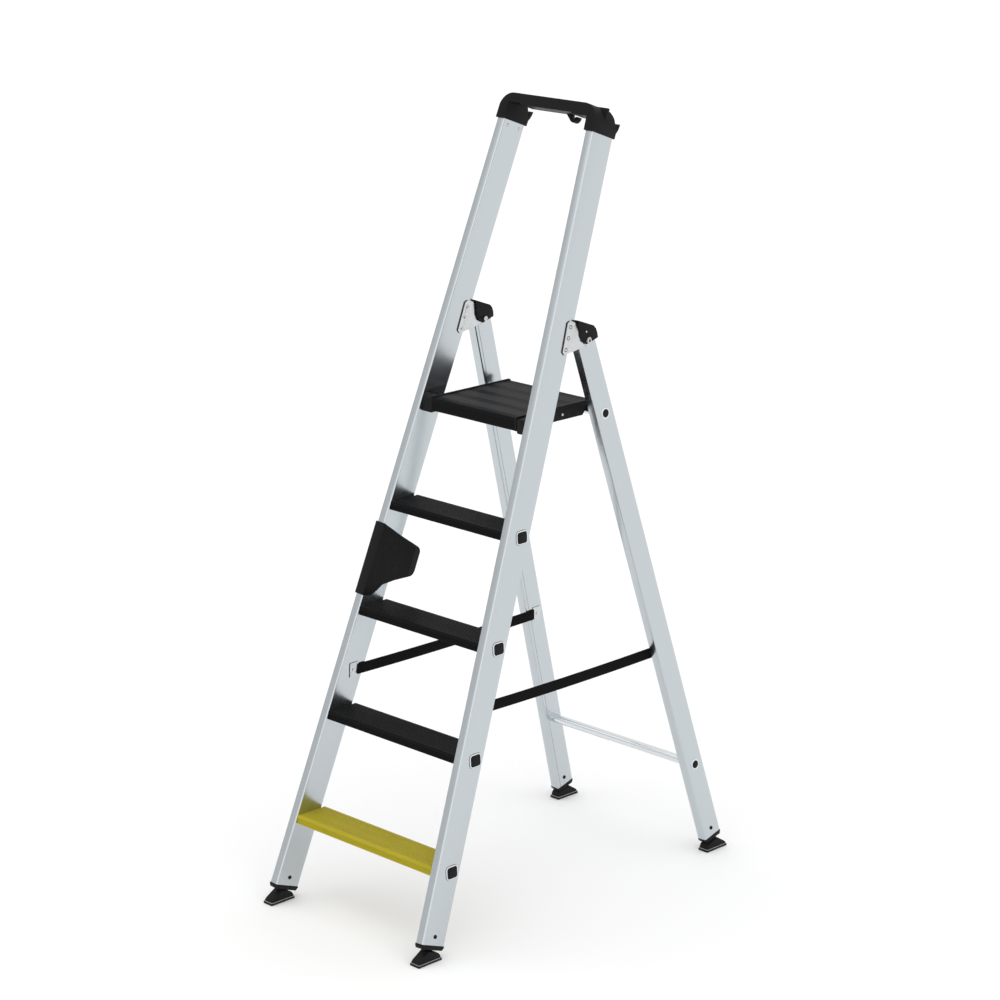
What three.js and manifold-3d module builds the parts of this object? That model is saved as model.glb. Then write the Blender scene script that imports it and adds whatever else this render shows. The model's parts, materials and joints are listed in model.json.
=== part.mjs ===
// Folding platform step ladder: two leaning frames hinged together, four steps and a
// platform, a handrail bracket on top, two restraint straps and four tilting shoes.
// Millimetres, +Z up. The front faces -Y, and the origin is the middle of the footprint
// on the floor.
import * as THREE from 'three';
import { mergeVertices } from 'three/addons/utils/BufferGeometryUtils.js';
import Module from 'manifold-3d';

const wasm = await Module();
wasm.setup();

// ---------------------------------------------------------------- driving dimensions
const degrees = Math.PI / 180;
const FRONT_LEAN = 20.36 * degrees; // front frame leans back from the vertical
const REAR_LEAN = 16.33 * degrees; // rear frame leans forward from the vertical
const FRONT_TAPER = 3.316 * degrees; // each stile leans in towards the middle
const REAR_TAPER = 3.505 * degrees; // and so does each leg
const FRONT_HALF_WIDTH = 255.9; // outer face of a stile at the floor

const STILE = { width: 22.7, depth: 69.4, wall: 1.9, corner: 3.5 };
const LEG = { width: 25, depth: 53.6, wall: 1.9, corner: 3, proud: 2.94 }; // proud of the stile at the hinge
const TUBE_END = 40.5; // where stiles and legs stop above the floor, along them
const GAP = 0.3; // between pieces that touch
const RUNNING = 0.5; // round a pin that turns in its hole

const STEP_COUNT = 4;
const STEP_PITCH = 250; // along the stile
const FIRST_STEP_TOP = 205.2; // height of the lowest tread
const STEP = { depth: 84, nose: 20, setback: 0.3, skin: 3, lip: 15 };
const TENON = { width: 30.4, height: 26.4, wall: 1.6, corner: 6, fromNose: 41, drop: 16.4 };
const FLANGE = { margin: 2, thickness: 1.4 };
const PLUG = { proud: 0.6, length: 12 };

const PLATFORM = { depth: 250, skin: 3, lip: 29, rearLip: 7, nose: 13 };
const RAIL = { nutClearance: 2.84, thickness: 5, rim: 2.8, drop: 29.7, rearOverhang: 4.5 };
const PLATFORM_PIVOT = { fromNose: 19, belowDeck: 19, radius: 5 };
const PLATFORM_BRACKET = { depth: 36, height: 35, below: 36 };
const CROSS_TUBE = { radius: 11, wall: 2.5, flange: 2, belowDeck: 20, notchPlay: 0.7 };
const LOWER_TUBE_HEIGHT = 230.4; // height of the lower cross tube's axis

const PIVOT = { along: 1414.3, behind: 82 }; // hinge axis, on the front frame
const HINGE_PLATE = { thickness: 2.5, apex: 14, outerPlay: 0.9, innerPlay: 1.3 };
const RIVETS = { behind: 23, offsets: [16.2, -8.8, -35.4], shank: 2.3, head: 4, headHeight: 1.6 };
const BOLT = { shank: 4, head: 7.4, headHeight: 3.4, nut: 6.5, nutHeight: 4.5 };
const LEG_CAP = {
  cheek: 2.2, outerPlay: 1.9, innerPlay: 1, roof: 2.8, roofHeight: 34.5, legAbovePivot: 16,
};

const BRACKET_FOOT = 1859; // where the top bracket's caps start, along the stile
const BRACKET = {
  height: 60.3, front: 39.5, rear: 39.5, side: 1.2, bar: 25.5, barRear: 3.6, rib: 7, round: 38,
  socket: 24,
};
const BAR_WAIST = { rise: 4, from: 78 }; // the bar is thinner beside the left cap
const BAR_PAD = { drop: 3.5, from: 76 }; // and thicker beside the right one
const CABLE_HOOK = { middle: 49, drop: 17.5, depth: 12, centre: 3 };

const GRIP = { thickness: 4, foot: 735, head: 906 };
const STRAP = { height: 25.4, thickness: 2, centreHeight: 523.4, play: 1.6 };
const CLAMP = { length: 26, height: 35, thickness: 1.5, rivetHead: 4, rivetInset: 11 };
const FRONT_CLAMP_START = 188; // behind the stiles' floor line
const REAR_CLAMP_END = 811.5; // behind the same line

const COLLAR = { height: 10.5, inset: 4, insert: 36 };
const SHOE = { length: 66, width: 26, pivotAlong: 16, pin: 4, knuckle: 7, knuckleWidth: 9, play: 3.5 };
const SHOE_SIDE_PLAY = 1.2; // each side of the knuckle
const SHOE_SLOT_PLAY = 2.2; // before and behind it, for the tilt

// ---------------------------------------------------------------- derived places
const sinF = Math.sin(FRONT_LEAN);
const cosF = Math.cos(FRONT_LEAN);
const sinR = Math.sin(REAR_LEAN);
const cosR = Math.cos(REAR_LEAN);
const rise = STEP_PITCH * cosF;
const deckTop = FIRST_STEP_TOP + STEP_COUNT * rise;

// y and z of a point on the front frame: along the stile, and behind its middle plane
const frontPoint = (along, behind) => [along * sinF + behind * cosF, along * cosF - behind * sinF];
const [pivotY, pivotZ] = frontPoint(PIVOT.along, PIVOT.behind);
const rearFloorY = pivotY + pivotZ * (sinR / cosR);
const pivotAlongLeg = pivotZ / cosR;
const middleY = rearFloorY / 2;

// outer and inner faces of the stiles and legs, as a distance from the middle plane x = 0
const stileOuter = (y, z) => FRONT_HALF_WIDTH - (y * sinF + z * cosF) * Math.tan(FRONT_TAPER);
const stileInner = (y, z) => stileOuter(y, z) - STILE.width / Math.cos(FRONT_TAPER);
const alongLeg = (y, z) => z * cosR - (y - rearFloorY) * sinR;
const REAR_HALF_WIDTH = stileOuter(pivotY, pivotZ) + LEG.proud + pivotAlongLeg * Math.tan(REAR_TAPER);
const legOuter = (y, z) => REAR_HALF_WIDTH - alongLeg(y, z) * Math.tan(REAR_TAPER);
const legInner = (y, z) => legOuter(y, z) - LEG.width / Math.cos(REAR_TAPER);

const stepNoseY = (k) => {
  const top = FIRST_STEP_TOP + k * rise;
  return (top * sinF - STILE.depth / 2) / cosF + STEP.setback;
};

// ---------------------------------------------------------------- materials
const metal = (color, roughness) =>
  new THREE.MeshStandardMaterial({ color, roughness, metalness: 1 });
const plastic = (color, roughness = 0.55) =>
  new THREE.MeshStandardMaterial({ color, roughness, metalness: 0 });
const aluminium = metal(0xd0d5da, 0.32);
const fastenerSteel = metal(0xb9b6ae, 0.3);
const zincedSteel = metal(0xc9ccd0, 0.35);
const blackPlastic = plastic(0x202122);
const blackCoating = plastic(0x222324, 0.45);
const yellowCoating = plastic(0xb2a530, 0.5);
const blackRubber = plastic(0x1a1a1a, 0.85);
const webbing = plastic(0x0a0a0a, 0.9);

// ---------------------------------------------------------------- solids
function solid(geometry) {
  const bare = geometry.index ? geometry.clone() : geometry;
  bare.deleteAttribute('normal');
  bare.deleteAttribute('uv');
  const merged = mergeVertices(bare, 1e-4);
  return new wasm.Manifold(new wasm.Mesh({
    numProp: 3,
    vertProperties: new Float32Array(merged.attributes.position.array),
    triVerts: new Uint32Array(merged.index.array),
  }));
}

function geometryOf(manifold) {
  const mesh = manifold.getMesh();
  const geometry = new THREE.BufferGeometry();
  geometry.setAttribute('position', new THREE.BufferAttribute(new Float32Array(mesh.vertProperties), 3));
  geometry.setIndex(new THREE.BufferAttribute(new Uint32Array(mesh.triVerts), 1));
  return geometry;
}

const join = (...parts) => geometryOf(parts.map(solid).reduce((sum, part) => sum.add(part)));
const cut = (body, ...tools) =>
  geometryOf(tools.map(solid).reduce((rest, tool) => rest.subtract(tool), solid(body)));
const common = (a, b) => geometryOf(solid(a).intersect(solid(b)));

function mirrored(geometry) {
  const copy = geometry.index ? geometry.clone() : mergeVertices(geometry.clone());
  copy.scale(-1, 1, 1);
  const order = copy.index.array;
  for (let i = 0; i < order.length; i += 3) [order[i], order[i + 1]] = [order[i + 1], order[i]];
  return copy;
}

// ---------------------------------------------------------------- outlines
function polygon(points) {
  return new THREE.Shape(points.map(([a, b]) => new THREE.Vector2(a, b)));
}

function roundedBox(width, height, corner, centre = [0, 0], PathClass = THREE.Shape) {
  const [cx, cy] = centre;
  const [w, h] = [width / 2 - corner, height / 2 - corner];
  const path = new PathClass();
  path.absarc(cx + w, cy - h, corner, -Math.PI / 2, 0);
  path.absarc(cx + w, cy + h, corner, 0, Math.PI / 2);
  path.absarc(cx - w, cy + h, corner, Math.PI / 2, Math.PI);
  path.absarc(cx - w, cy - h, corner, Math.PI, 1.5 * Math.PI);
  path.closePath();
  return path;
}

function disc(radius, centre) {
  const path = new THREE.Shape();
  path.absarc(centre[0], centre[1], radius, 0, 2 * Math.PI);
  return path;
}

function withHoles(shape, ...holes) {
  shape.holes.push(...holes);
  return shape;
}

// an outline in y and z that runs along X between two surfaces x = low(y, z), x = high(y, z);
// each curve of the outline becomes curveSegments chords, and each arc twice as many
function between(shape, low, high, curveSegments = 1) {
  const geometry = new THREE.ExtrudeGeometry(shape, { depth: 1, bevelEnabled: false, curveSegments });
  const position = geometry.attributes.position;
  for (let i = 0; i < position.count; i += 1) {
    const [y, z, end] = [position.getX(i), position.getY(i), position.getZ(i)];
    position.setXYZ(i, end > 0.5 ? high(y, z) : low(y, z), y, z);
  }
  return geometry;
}
const alongX = (shape, low, high, curveSegments = 1) =>
  between(shape, () => low, () => high, curveSegments);

// an outline in x and y that rises along Z
function upright(shape, low, high, curveSegments = 1) {
  const options = { depth: high - low, bevelEnabled: false, curveSegments };
  return new THREE.ExtrudeGeometry(shape, options).translate(0, 0, low);
}

function rodX(radius, low, high, y, z, sides = 12) {
  return new THREE.CylinderGeometry(radius, radius, high - low, sides)
    .rotateZ(Math.PI / 2)
    .translate((low + high) / 2, y, z);
}

// a turned piece whose axis lies along X; the profile holds [x, radius] pairs
function turnedX(profile, y, z, sides = 12) {
  const points = profile.map(([x, radius]) => new THREE.Vector2(radius, x));
  return new THREE.LatheGeometry(points, sides).rotateZ(-Math.PI / 2).translate(0, y, z);
}

// ---------------------------------------------------------------- frames of reference
const ladder = new THREE.Group();
ladder.name = 'step_ladder';
ladder.position.set(0, -middleY, 0);

const frontFrame = new THREE.Group();
frontFrame.rotation.x = -FRONT_LEAN;
const rearFrame = new THREE.Group();
rearFrame.position.y = rearFloorY;
rearFrame.rotation.x = REAR_LEAN;
ladder.add(frontFrame, rearFrame);

// the middle line of a stile or a leg, with Y pointing to the rear and Z along it
function sideGroup(frame, side, halfWidth, taper, width) {
  const group = new THREE.Group();
  group.position.x = side * (halfWidth - width / 2 / Math.cos(taper));
  group.rotation.y = -side * taper;
  frame.add(group);
  return group;
}
const stileGroup = (side) =>
  sideGroup(frontFrame, side, FRONT_HALF_WIDTH, FRONT_TAPER, STILE.width);
const legGroup = (side) => sideGroup(rearFrame, side, REAR_HALF_WIDTH, REAR_TAPER, LEG.width);
const rightStile = stileGroup(1);
const leftStile = stileGroup(-1);
const rightLeg = legGroup(1);
const leftLeg = legGroup(-1);

// from the ladder's own axes into those of a group, and back
function matrixIn(group) {
  const matrix = new THREE.Matrix4();
  for (let at = group; at !== ladder; at = at.parent) {
    at.updateMatrix();
    matrix.premultiply(at.matrix);
  }
  return matrix;
}
const into = (group, geometry) => geometry.clone().applyMatrix4(matrixIn(group).invert());
const outOf = (group, geometry) => geometry.clone().applyMatrix4(matrixIn(group));

function place(group, name, geometry, material) {
  const mesh = new THREE.Mesh(geometry, material);
  mesh.name = name;
  group.add(mesh);
}

// a right-hand piece and its mirror image on the left, each in its own group
function placePair(rightGroup, leftGroup, name, geometry, material) {
  place(rightGroup, `${name}_right`, geometry, material);
  place(leftGroup, `${name}_left`, mirrored(geometry), material);
}
const placeBoth = (name, geometry, material) => placePair(ladder, ladder, name, geometry, material);

// distances along a stile or leg's own middle line
const alongStile = (along) => along / Math.cos(FRONT_TAPER);
const alongLegLine = (along) => along / Math.cos(REAR_TAPER);

// ---------------------------------------------------------------- steps
const tenonCentre = (k) => [
  stepNoseY(k) + TENON.fromNose,
  FIRST_STEP_TOP + k * rise - TENON.drop,
];

function stepOutline(k) {
  const [front, top] = [stepNoseY(k), FIRST_STEP_TOP + k * rise];
  const [rear, under] = [front + STEP.depth, top - STEP.skin];
  const box = { front: front + TENON.fromNose - TENON.width / 2, bottom: top - TENON.drop - TENON.height / 2 };
  const boxRear = box.front + TENON.width;
  return polygon([
    [front + 3, top], [front, top - 3], [front, top - STEP.nose], [front + STEP.skin, top - STEP.nose],
    [front + STEP.skin, under], [box.front, under], [box.front, box.bottom], [boxRear, box.bottom],
    [boxRear, under], [rear - STEP.skin, under], [rear - STEP.skin, top - STEP.lip],
    [rear, top - STEP.lip], [rear, top - 2], [rear - 2, top],
  ]);
}

function tenonBox(k, margin) {
  return [TENON.width + 2 * margin, TENON.height + 2 * margin, TENON.corner + margin, tenonCentre(k)];
}

function step(k) {
  const inner = (offset) => (y, z) => stileInner(y, z) + offset;
  const outer = (offset) => (y, z) => stileOuter(y, z) + offset;
  const minus = (surface) => (y, z) => -surface(y, z);
  const tread = between(stepOutline(k), minus(inner(-GAP)), inner(-GAP));
  const tip = outer(GAP + FLANGE.thickness);
  const tenon = between(roundedBox(...tenonBox(k, 0)), minus(tip), tip);
  const flangeShape = () => roundedBox(...tenonBox(k, FLANGE.margin));
  const flanges = [
    between(flangeShape(), outer(GAP), tip),
    between(flangeShape(), minus(tip), minus(outer(GAP))),
  ];
  const beyond = outer(FLANGE.thickness + 5);
  const bore = between(roundedBox(...tenonBox(k, -TENON.wall)), minus(beyond), beyond);
  return cut(join(tread, tenon, ...flanges), bore);
}

function stepPlug(k) {
  const face = (y, z) => stileOuter(y, z) + GAP + FLANGE.thickness + PLUG.proud;
  const shape = roundedBox(...tenonBox(k, -TENON.wall - GAP));
  return between(shape, (y, z) => face(y, z) - PLUG.length, face);
}

for (let k = 0; k < STEP_COUNT; k += 1) {
  place(ladder, `step_${k + 1}`, step(k), k === 0 ? yellowCoating : blackCoating);
  placeBoth(`step_plug_${k + 1}`, stepPlug(k), blackPlastic);
}

// ---------------------------------------------------------------- stiles and legs
function boxTube(section, low, high) {
  const { width, depth, wall, corner } = section;
  const shape = withHoles(
    roundedBox(width, depth, corner),
    roundedBox(width - 2 * wall, depth - 2 * wall, corner - wall + 0.4, [0, 0], THREE.Path),
  );
  return upright(shape, low, high, 2);
}

const throughWalls = (shape, inner, outer) =>
  between(shape, (y, z) => inner(y, z) - 6, (y, z) => outer(y, z) + 6);
const rivetAlong = RIVETS.offsets.map((offset) => alongStile(PIVOT.along + offset));

function stile() {
  const top = alongStile(BRACKET_FOOT + BRACKET.socket) - GAP;
  const tube = boxTube(STILE, alongStile(TUBE_END), top);
  const tenonHoles = Array.from({ length: STEP_COUNT }, (_, k) =>
    into(rightStile, throughWalls(roundedBox(...tenonBox(k, GAP)), stileInner, stileOuter)));
  const rivetHoles = rivetAlong.map((s) =>
    rodX(RIVETS.shank + GAP, -STILE.width, STILE.width, RIVETS.behind, s, 8));
  return cut(tube, ...tenonHoles, ...rivetHoles);
}
placePair(rightStile, leftStile, 'stile', stile(), aluminium);

const legPoint = (along) => [rearFloorY - along * sinR, along * cosR];
const crossTubes = {
  platform: legPoint((deckTop - CROSS_TUBE.belowDeck) / cosR),
  lower: legPoint(LOWER_TUBE_HEIGHT / cosR),
};

function leg() {
  const top = alongLegLine(pivotAlongLeg + LEG_CAP.legAbovePivot);
  const tube = boxTube(LEG, alongLegLine(TUBE_END), top);
  const holes = Object.values(crossTubes).map(([y, z]) =>
    into(rightLeg, rodX(CROSS_TUBE.radius + GAP, 100, 300, y, z, 16)));
  const pivotHole = into(rightLeg, rodX(BOLT.shank + RUNNING, 100, 300, pivotY, pivotZ));
  return cut(tube, ...holes, pivotHole);
}
placePair(rightLeg, leftLeg, 'rear_leg', leg(), aluminium);

// ---------------------------------------------------------------- cross tubes
function crossTube([y, z]) {
  const { radius, wall, flange } = CROSS_TUBE;
  const tip = (a, b) => legOuter(a, b) + GAP + FLANGE.thickness;
  const seat = (a, b) => legOuter(a, b) + GAP;
  const minus = (surface) => (a, b) => -surface(a, b);
  const rod = between(disc(radius, [y, z]), minus(tip), tip, 8);
  const rings = [
    between(disc(radius + flange, [y, z]), seat, tip, 8),
    between(disc(radius + flange, [y, z]), minus(tip), minus(seat), 8),
  ];
  const bore = rodX(radius - wall, -400, 400, y, z, 16);
  return cut(join(rod, ...rings), bore);
}

function tubePlug([y, z]) {
  const face = (a, b) => legOuter(a, b) + GAP + FLANGE.thickness + PLUG.proud;
  const shape = disc(CROSS_TUBE.radius - CROSS_TUBE.wall - GAP, [y, z]);
  return between(shape, (a, b) => face(a, b) - PLUG.length, face, 6);
}

for (const [name, centre] of Object.entries(crossTubes)) {
  place(ladder, `${name}_cross_tube`, crossTube(centre), aluminium);
  placeBoth(`${name}_tube_plug`, tubePlug(centre), blackPlastic);
}

// ---------------------------------------------------------------- hinges
// the plates' outline, in the stile's own Y and Z, with the pivot at [behind, pivotAlong]
const pivotOnStile = alongStile(PIVOT.along);
const jogStart = STILE.depth / 2 + 3;
const jogEnd = jogStart + 9;

function plateOutline() {
  const { apex } = HINGE_PLATE;
  const [by, bz] = [PIVOT.behind, pivotOnStile];
  const shape = new THREE.Shape();
  shape.moveTo(RIVETS.behind - 1, bz - 48);
  shape.lineTo(by - 20, bz - 24);
  shape.absarc(by, bz, apex, -0.62 * Math.PI, 0.45 * Math.PI);
  shape.lineTo(jogEnd - 2, bz + 30);
  shape.lineTo(RIVETS.behind - 6, bz + 29);
  shape.lineTo(RIVETS.behind - 12, bz + 23);
  shape.lineTo(RIVETS.behind - 9, bz - 43);
  shape.closePath();
  return shape;
}

// one plate from the stile's face at x = face, offset by jog past the stile; out is its outward side
function hingePlate(face, jog, out) {
  const { thickness } = HINGE_PLATE;
  const [near, far] = [face + out * GAP, face + out * (GAP + thickness)];
  const blank = alongX(plateOutline(), Math.min(near, far), Math.max(near, far), 3);
  const slab = (from, to) => new THREE.BoxGeometry(200, to - from, 400)
    .translate(face, (from + to) / 2, pivotOnStile);
  const flat = common(blank, slab(-100, jogStart));
  const seam = 0.05; // the three parts overlap this far, so that they join
  const slope = common(blank, slab(jogStart - seam, jogEnd + seam));
  const position = slope.attributes.position;
  for (let i = 0; i < position.count; i += 1) {
    const share = (position.getY(i) - jogStart) / (jogEnd - jogStart);
    position.setX(i, position.getX(i) + jog * THREE.MathUtils.clamp(share, 0, 1));
  }
  const offset = common(blank, slab(jogEnd, 300)).translate(jog, 0, 0);
  const boltHole = into(rightStile, rodX(BOLT.shank + RUNNING, 50, 300, pivotY, pivotZ));
  const rivetHoles = rivetAlong.map((s) =>
    rodX(RIVETS.shank + GAP, -40, 40, RIVETS.behind, s, 8));
  return cut(join(flat, slope, offset), boltHole, ...rivetHoles);
}

const outerJog = legOuter(pivotY, pivotZ) - stileOuter(pivotY, pivotZ) + HINGE_PLATE.outerPlay - GAP;
const innerJog = legInner(pivotY, pivotZ) - stileInner(pivotY, pivotZ) - HINGE_PLATE.innerPlay + GAP;
placePair(rightStile, leftStile, 'hinge_plate_outer',
  hingePlate(STILE.width / 2, outerJog, 1), zincedSteel);
placePair(rightStile, leftStile, 'hinge_plate_inner',
  hingePlate(-STILE.width / 2, innerJog, -1), zincedSteel);

function rivet(s) {
  const reach = STILE.width / 2 + GAP + HINGE_PLATE.thickness + GAP;
  const { shank, head, headHeight } = RIVETS;
  const half = [[reach, shank], [reach, head], [reach + headHeight * 0.7, head * 0.7], [reach + headHeight, 0]];
  const other = half.map(([x, radius]) => [-x, radius]).reverse();
  return turnedX([...other, ...half], RIVETS.behind, s, 8);
}
rivetAlong.forEach((s, i) =>
  placePair(rightStile, leftStile, `hinge_rivet_${i + 1}`, rivet(s), fastenerSteel));

// faces of the plates and of the leg cap's cheeks where the pivot bolt passes
const plateOutside = legOuter(pivotY, pivotZ) + HINGE_PLATE.outerPlay + HINGE_PLATE.thickness;
const plateInside = legInner(pivotY, pivotZ) - HINGE_PLATE.innerPlay - HINGE_PLATE.thickness;
const cheekOutside = plateOutside + LEG_CAP.outerPlay + LEG_CAP.cheek;
const cheekInside = plateInside - LEG_CAP.innerPlay - LEG_CAP.cheek;

function pivotBolt() {
  const { shank, head, headHeight, nutHeight } = BOLT;
  const [seat, tip] = [cheekOutside + RUNNING, cheekInside - RUNNING - nutHeight];
  return turnedX([
    [tip, 0], [tip, shank], [seat, shank], [seat, head], [seat + headHeight * 0.6, head],
    [seat + headHeight, head * 0.7], [seat + headHeight, 0],
  ], pivotY, pivotZ);
}

function pivotNut() {
  const { shank, nut, nutHeight } = BOLT;
  const seat = cheekInside - RUNNING;
  const blank = rodX(nut, seat - nutHeight, seat, pivotY, pivotZ, 6);
  return cut(blank, rodX(shank + GAP, seat - 20, seat + 20, pivotY, pivotZ));
}
placeBoth('pivot_bolt', pivotBolt(), fastenerSteel);
placeBoth('pivot_nut', pivotNut(), fastenerSteel);

// ---------------------------------------------------------------- leg caps
// The roof lies square to the stiles while the ladder stands open, and its front edge rests
// against them as the stop. capPoint turns a height along the stile and a distance forward,
// both from the pivot, into the leg's own Y and Z.
const foldAngle = FRONT_LEAN + REAR_LEAN;
const capPoint = (height, forward) => [
  height * Math.sin(foldAngle) - forward * Math.cos(foldAngle),
  height * Math.cos(foldAngle) + forward * Math.sin(foldAngle) + alongLegLine(pivotAlongLeg),
];

function legCap() {
  const { roof, roofHeight, legAbovePivot, cheek } = LEG_CAP;
  const legMiddle = (legOuter(pivotY, pivotZ) + legInner(pivotY, pivotZ)) / 2;
  const [outside, inside] = [cheekOutside - legMiddle, cheekInside - legMiddle];
  const bz = alongLegLine(pivotAlongLeg);
  const rearFace = LEG.depth / 2;
  const stop = PIVOT.behind - STILE.depth / 2 - GAP;
  const outline = new THREE.Shape();
  outline.moveTo(...capPoint(roofHeight - 3.5, stop - 3));
  outline.lineTo(...capPoint(3.5, 30));
  outline.quadraticCurveTo(...capPoint(-12, 21), ...capPoint(-10.5, 2));
  outline.lineTo(...capPoint(12, -27));
  outline.lineTo(...capPoint(22.8, -21));
  outline.quadraticCurveTo(...capPoint(roofHeight - 3, -15), ...capPoint(roofHeight, -5));
  outline.lineTo(...capPoint(roofHeight, stop));
  outline.lineTo(...capPoint(roofHeight - 3.5, stop));
  outline.closePath();
  const under = roofHeight - roof;
  const hollow = polygon([
    capPoint(under, stop + 20), capPoint(under, -6), [rearFace + 3, bz + 14], [rearFace + 3, bz - 40],
    [-60, bz - 40],
  ]);
  const shell = cut(
    alongX(outline, inside, outside, 2),
    alongX(hollow, inside + cheek, outside - cheek),
  );
  const [coreRear, coreFoot] = [rearFace - LEG.wall - 2 * GAP, bz + legAbovePivot - 6];
  const half = LEG.width / 2 - LEG.wall - GAP;
  const core = alongX(polygon([
    [-15, coreFoot], [coreRear, coreFoot], [coreRear, bz + legAbovePivot + 2],
    capPoint(under + 1, -4), capPoint(under + 1, stop - 6), [-15, bz + 40],
  ]), -half, half);
  const boltHole = into(rightLeg, rodX(BOLT.shank + RUNNING, 50, 300, pivotY, pivotZ));
  return cut(join(shell, core), boltHole);
}
placePair(rightLeg, leftLeg, 'leg_cap', legCap(), blackPlastic);

// ---------------------------------------------------------------- top bracket
// in the front frame: x across, Y to the rear, Z along the frame
const faceX = (offset) => (y, z) =>
  FRONT_HALF_WIDTH - z * Math.tan(FRONT_TAPER) + offset;
const outerX = faceX(BRACKET.side);
const innerX = faceX(-STILE.width / Math.cos(FRONT_TAPER) - BRACKET.side);

function capOutline() {
  const foot = BRACKET_FOOT;
  const top = foot + BRACKET.height;
  const { front, rear, barRear } = BRACKET;
  const shape = new THREE.Shape();
  shape.moveTo(-front, foot);
  shape.lineTo(rear, foot);
  shape.lineTo(rear + 0.6, foot + 13);
  shape.quadraticCurveTo(rear + 7, foot + 20, rear + 8.5, foot + 36);
  shape.lineTo(rear + 2.5, foot + 33.5);
  shape.lineTo(rear - 1.5, foot + 24);
  shape.lineTo(rear - 6.5, foot + 24);
  shape.lineTo(rear - 8, foot + 33);
  shape.quadraticCurveTo(rear - 13, foot + 46, barRear + 5, top - 7);
  shape.lineTo(barRear, top - 6);
  shape.lineTo(barRear, top);
  shape.lineTo(-front, top);
  shape.closePath();
  return shape;
}

// what the rounded outer corner takes away, in x and Z; only the rear rib keeps its square end
function cornerWaste() {
  const { round, front, barRear, rib, height } = BRACKET;
  const top = BRACKET_FOOT + height;
  const edge = outerX(0, top - round) + 0.5;
  const shape = new THREE.Shape();
  shape.moveTo(edge - round, top);
  shape.absarc(edge - round, top - round, round, Math.PI / 2, 0, true);
  shape.lineTo(edge + 8, top - round);
  shape.lineTo(edge + 8, top + 5);
  shape.lineTo(edge - round, top + 5);
  shape.closePath();
  const depth = front + barRear - rib;
  return new THREE.ExtrudeGeometry(shape, { depth: depth + 5, bevelEnabled: false, curveSegments: 5 })
    .rotateX(Math.PI / 2)
    .translate(0, barRear - rib, 0);
}

// a J under the bar, in x and Z, that opens towards the right
function cableHook() {
  const { middle, drop, depth, centre } = CABLE_HOOK;
  const under = BRACKET_FOOT + BRACKET.height - BRACKET.bar;
  const shape = new THREE.Shape();
  shape.moveTo(middle - 22, under + 1);
  shape.lineTo(middle - 6, under - drop + 4.5);
  shape.quadraticCurveTo(middle - 1, under - drop - 0.5, middle + 7, under - drop + 0.5);
  shape.quadraticCurveTo(middle + 17, under - drop + 3, middle + 17, under - 3.5);
  shape.lineTo(middle + 8.5, under - 3.5);
  shape.lineTo(middle + 7, under - 8);
  shape.quadraticCurveTo(middle + 4, under - 11.5, middle, under - 8.5);
  shape.lineTo(middle - 7, under + 1);
  shape.closePath();
  return new THREE.ExtrudeGeometry(shape, { depth, bevelEnabled: false, curveSegments: 4 })
    .rotateX(Math.PI / 2)
    .translate(0, centre + depth / 2, 0);
}

function topBracket() {
  const top = BRACKET_FOOT + BRACKET.height;
  const cap = between(capOutline(), innerX, outerX, 3);
  const socket = outOf(rightStile, upright(
    roundedBox(STILE.width + 2 * GAP, STILE.depth + 2 * GAP, STILE.corner),
    alongStile(BRACKET_FOOT) - 10, alongStile(BRACKET_FOOT + BRACKET.socket),
  )).applyMatrix4(matrixIn(frontFrame).invert());
  const rightCap = cut(cap, socket, cornerWaste());
  const reach = innerX(0, top) + 2;
  const barDepth = BRACKET.front + BRACKET.barRear;
  const under = top - BRACKET.bar;
  const slab = (from, to, low, high) => new THREE.BoxGeometry(to - from, barDepth, high - low)
    .translate((from + to) / 2, (BRACKET.barRear - BRACKET.front) / 2, (low + high) / 2);
  const waist = slab(1 - reach, -BAR_WAIST.from, under - 5, under + BAR_WAIST.rise).translate(-6, 0, 0);
  const bar = join(slab(-reach, reach, under, top), slab(BAR_PAD.from, reach, under - BAR_PAD.drop, top));
  const shaped = cut(bar, waist, cornerWaste(), mirrored(cornerWaste()));
  return join(shaped, rightCap, mirrored(rightCap), cableHook());
}
place(frontFrame, 'top_bracket', topBracket(), blackPlastic);

// ---------------------------------------------------------------- carry grip, on the left stile
function carryGrip() {
  const front = STILE.depth / 2;
  const { thickness, foot, head } = GRIP;
  const inner = -STILE.width / 2 - GAP;
  const outline = new THREE.Shape();
  outline.moveTo(-front - GAP - thickness, foot);
  outline.lineTo(-17, foot + 3);
  outline.quadraticCurveTo(-2, foot + 10, 12, foot + 32);
  outline.lineTo(44, foot + 47);
  outline.lineTo(92, foot + 64);
  outline.quadraticCurveTo(100, foot + 68, 101.5, foot + 78);
  outline.lineTo(101, foot + 124);
  outline.quadraticCurveTo(99, foot + 133, 88, foot + 136);
  outline.lineTo(27, foot + 152);
  outline.lineTo(-front - GAP, head);
  outline.lineTo(-front - GAP - thickness, head);
  outline.closePath();
  const side = alongX(outline, inner - thickness, inner, 3);
  const face = new THREE.BoxGeometry(STILE.width + GAP + thickness, thickness, head - foot).translate(
    (GAP + thickness) / -2, -front - GAP - thickness / 2, (foot + head) / 2,
  );
  return join(side, face);
}
place(leftStile, 'carry_grip', mirrored(carryGrip()), blackPlastic);

// ---------------------------------------------------------------- platform
const deckFront = stepNoseY(STEP_COUNT);
const deckRear = deckFront + PLATFORM.depth;
const platformPivot = [deckFront + PLATFORM_PIVOT.fromNose, deckTop - PLATFORM_PIVOT.belowDeck];
const railOuter = cheekInside - RUNNING - BOLT.nutHeight - RAIL.nutClearance;
const railInner = railOuter - RAIL.thickness;

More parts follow.
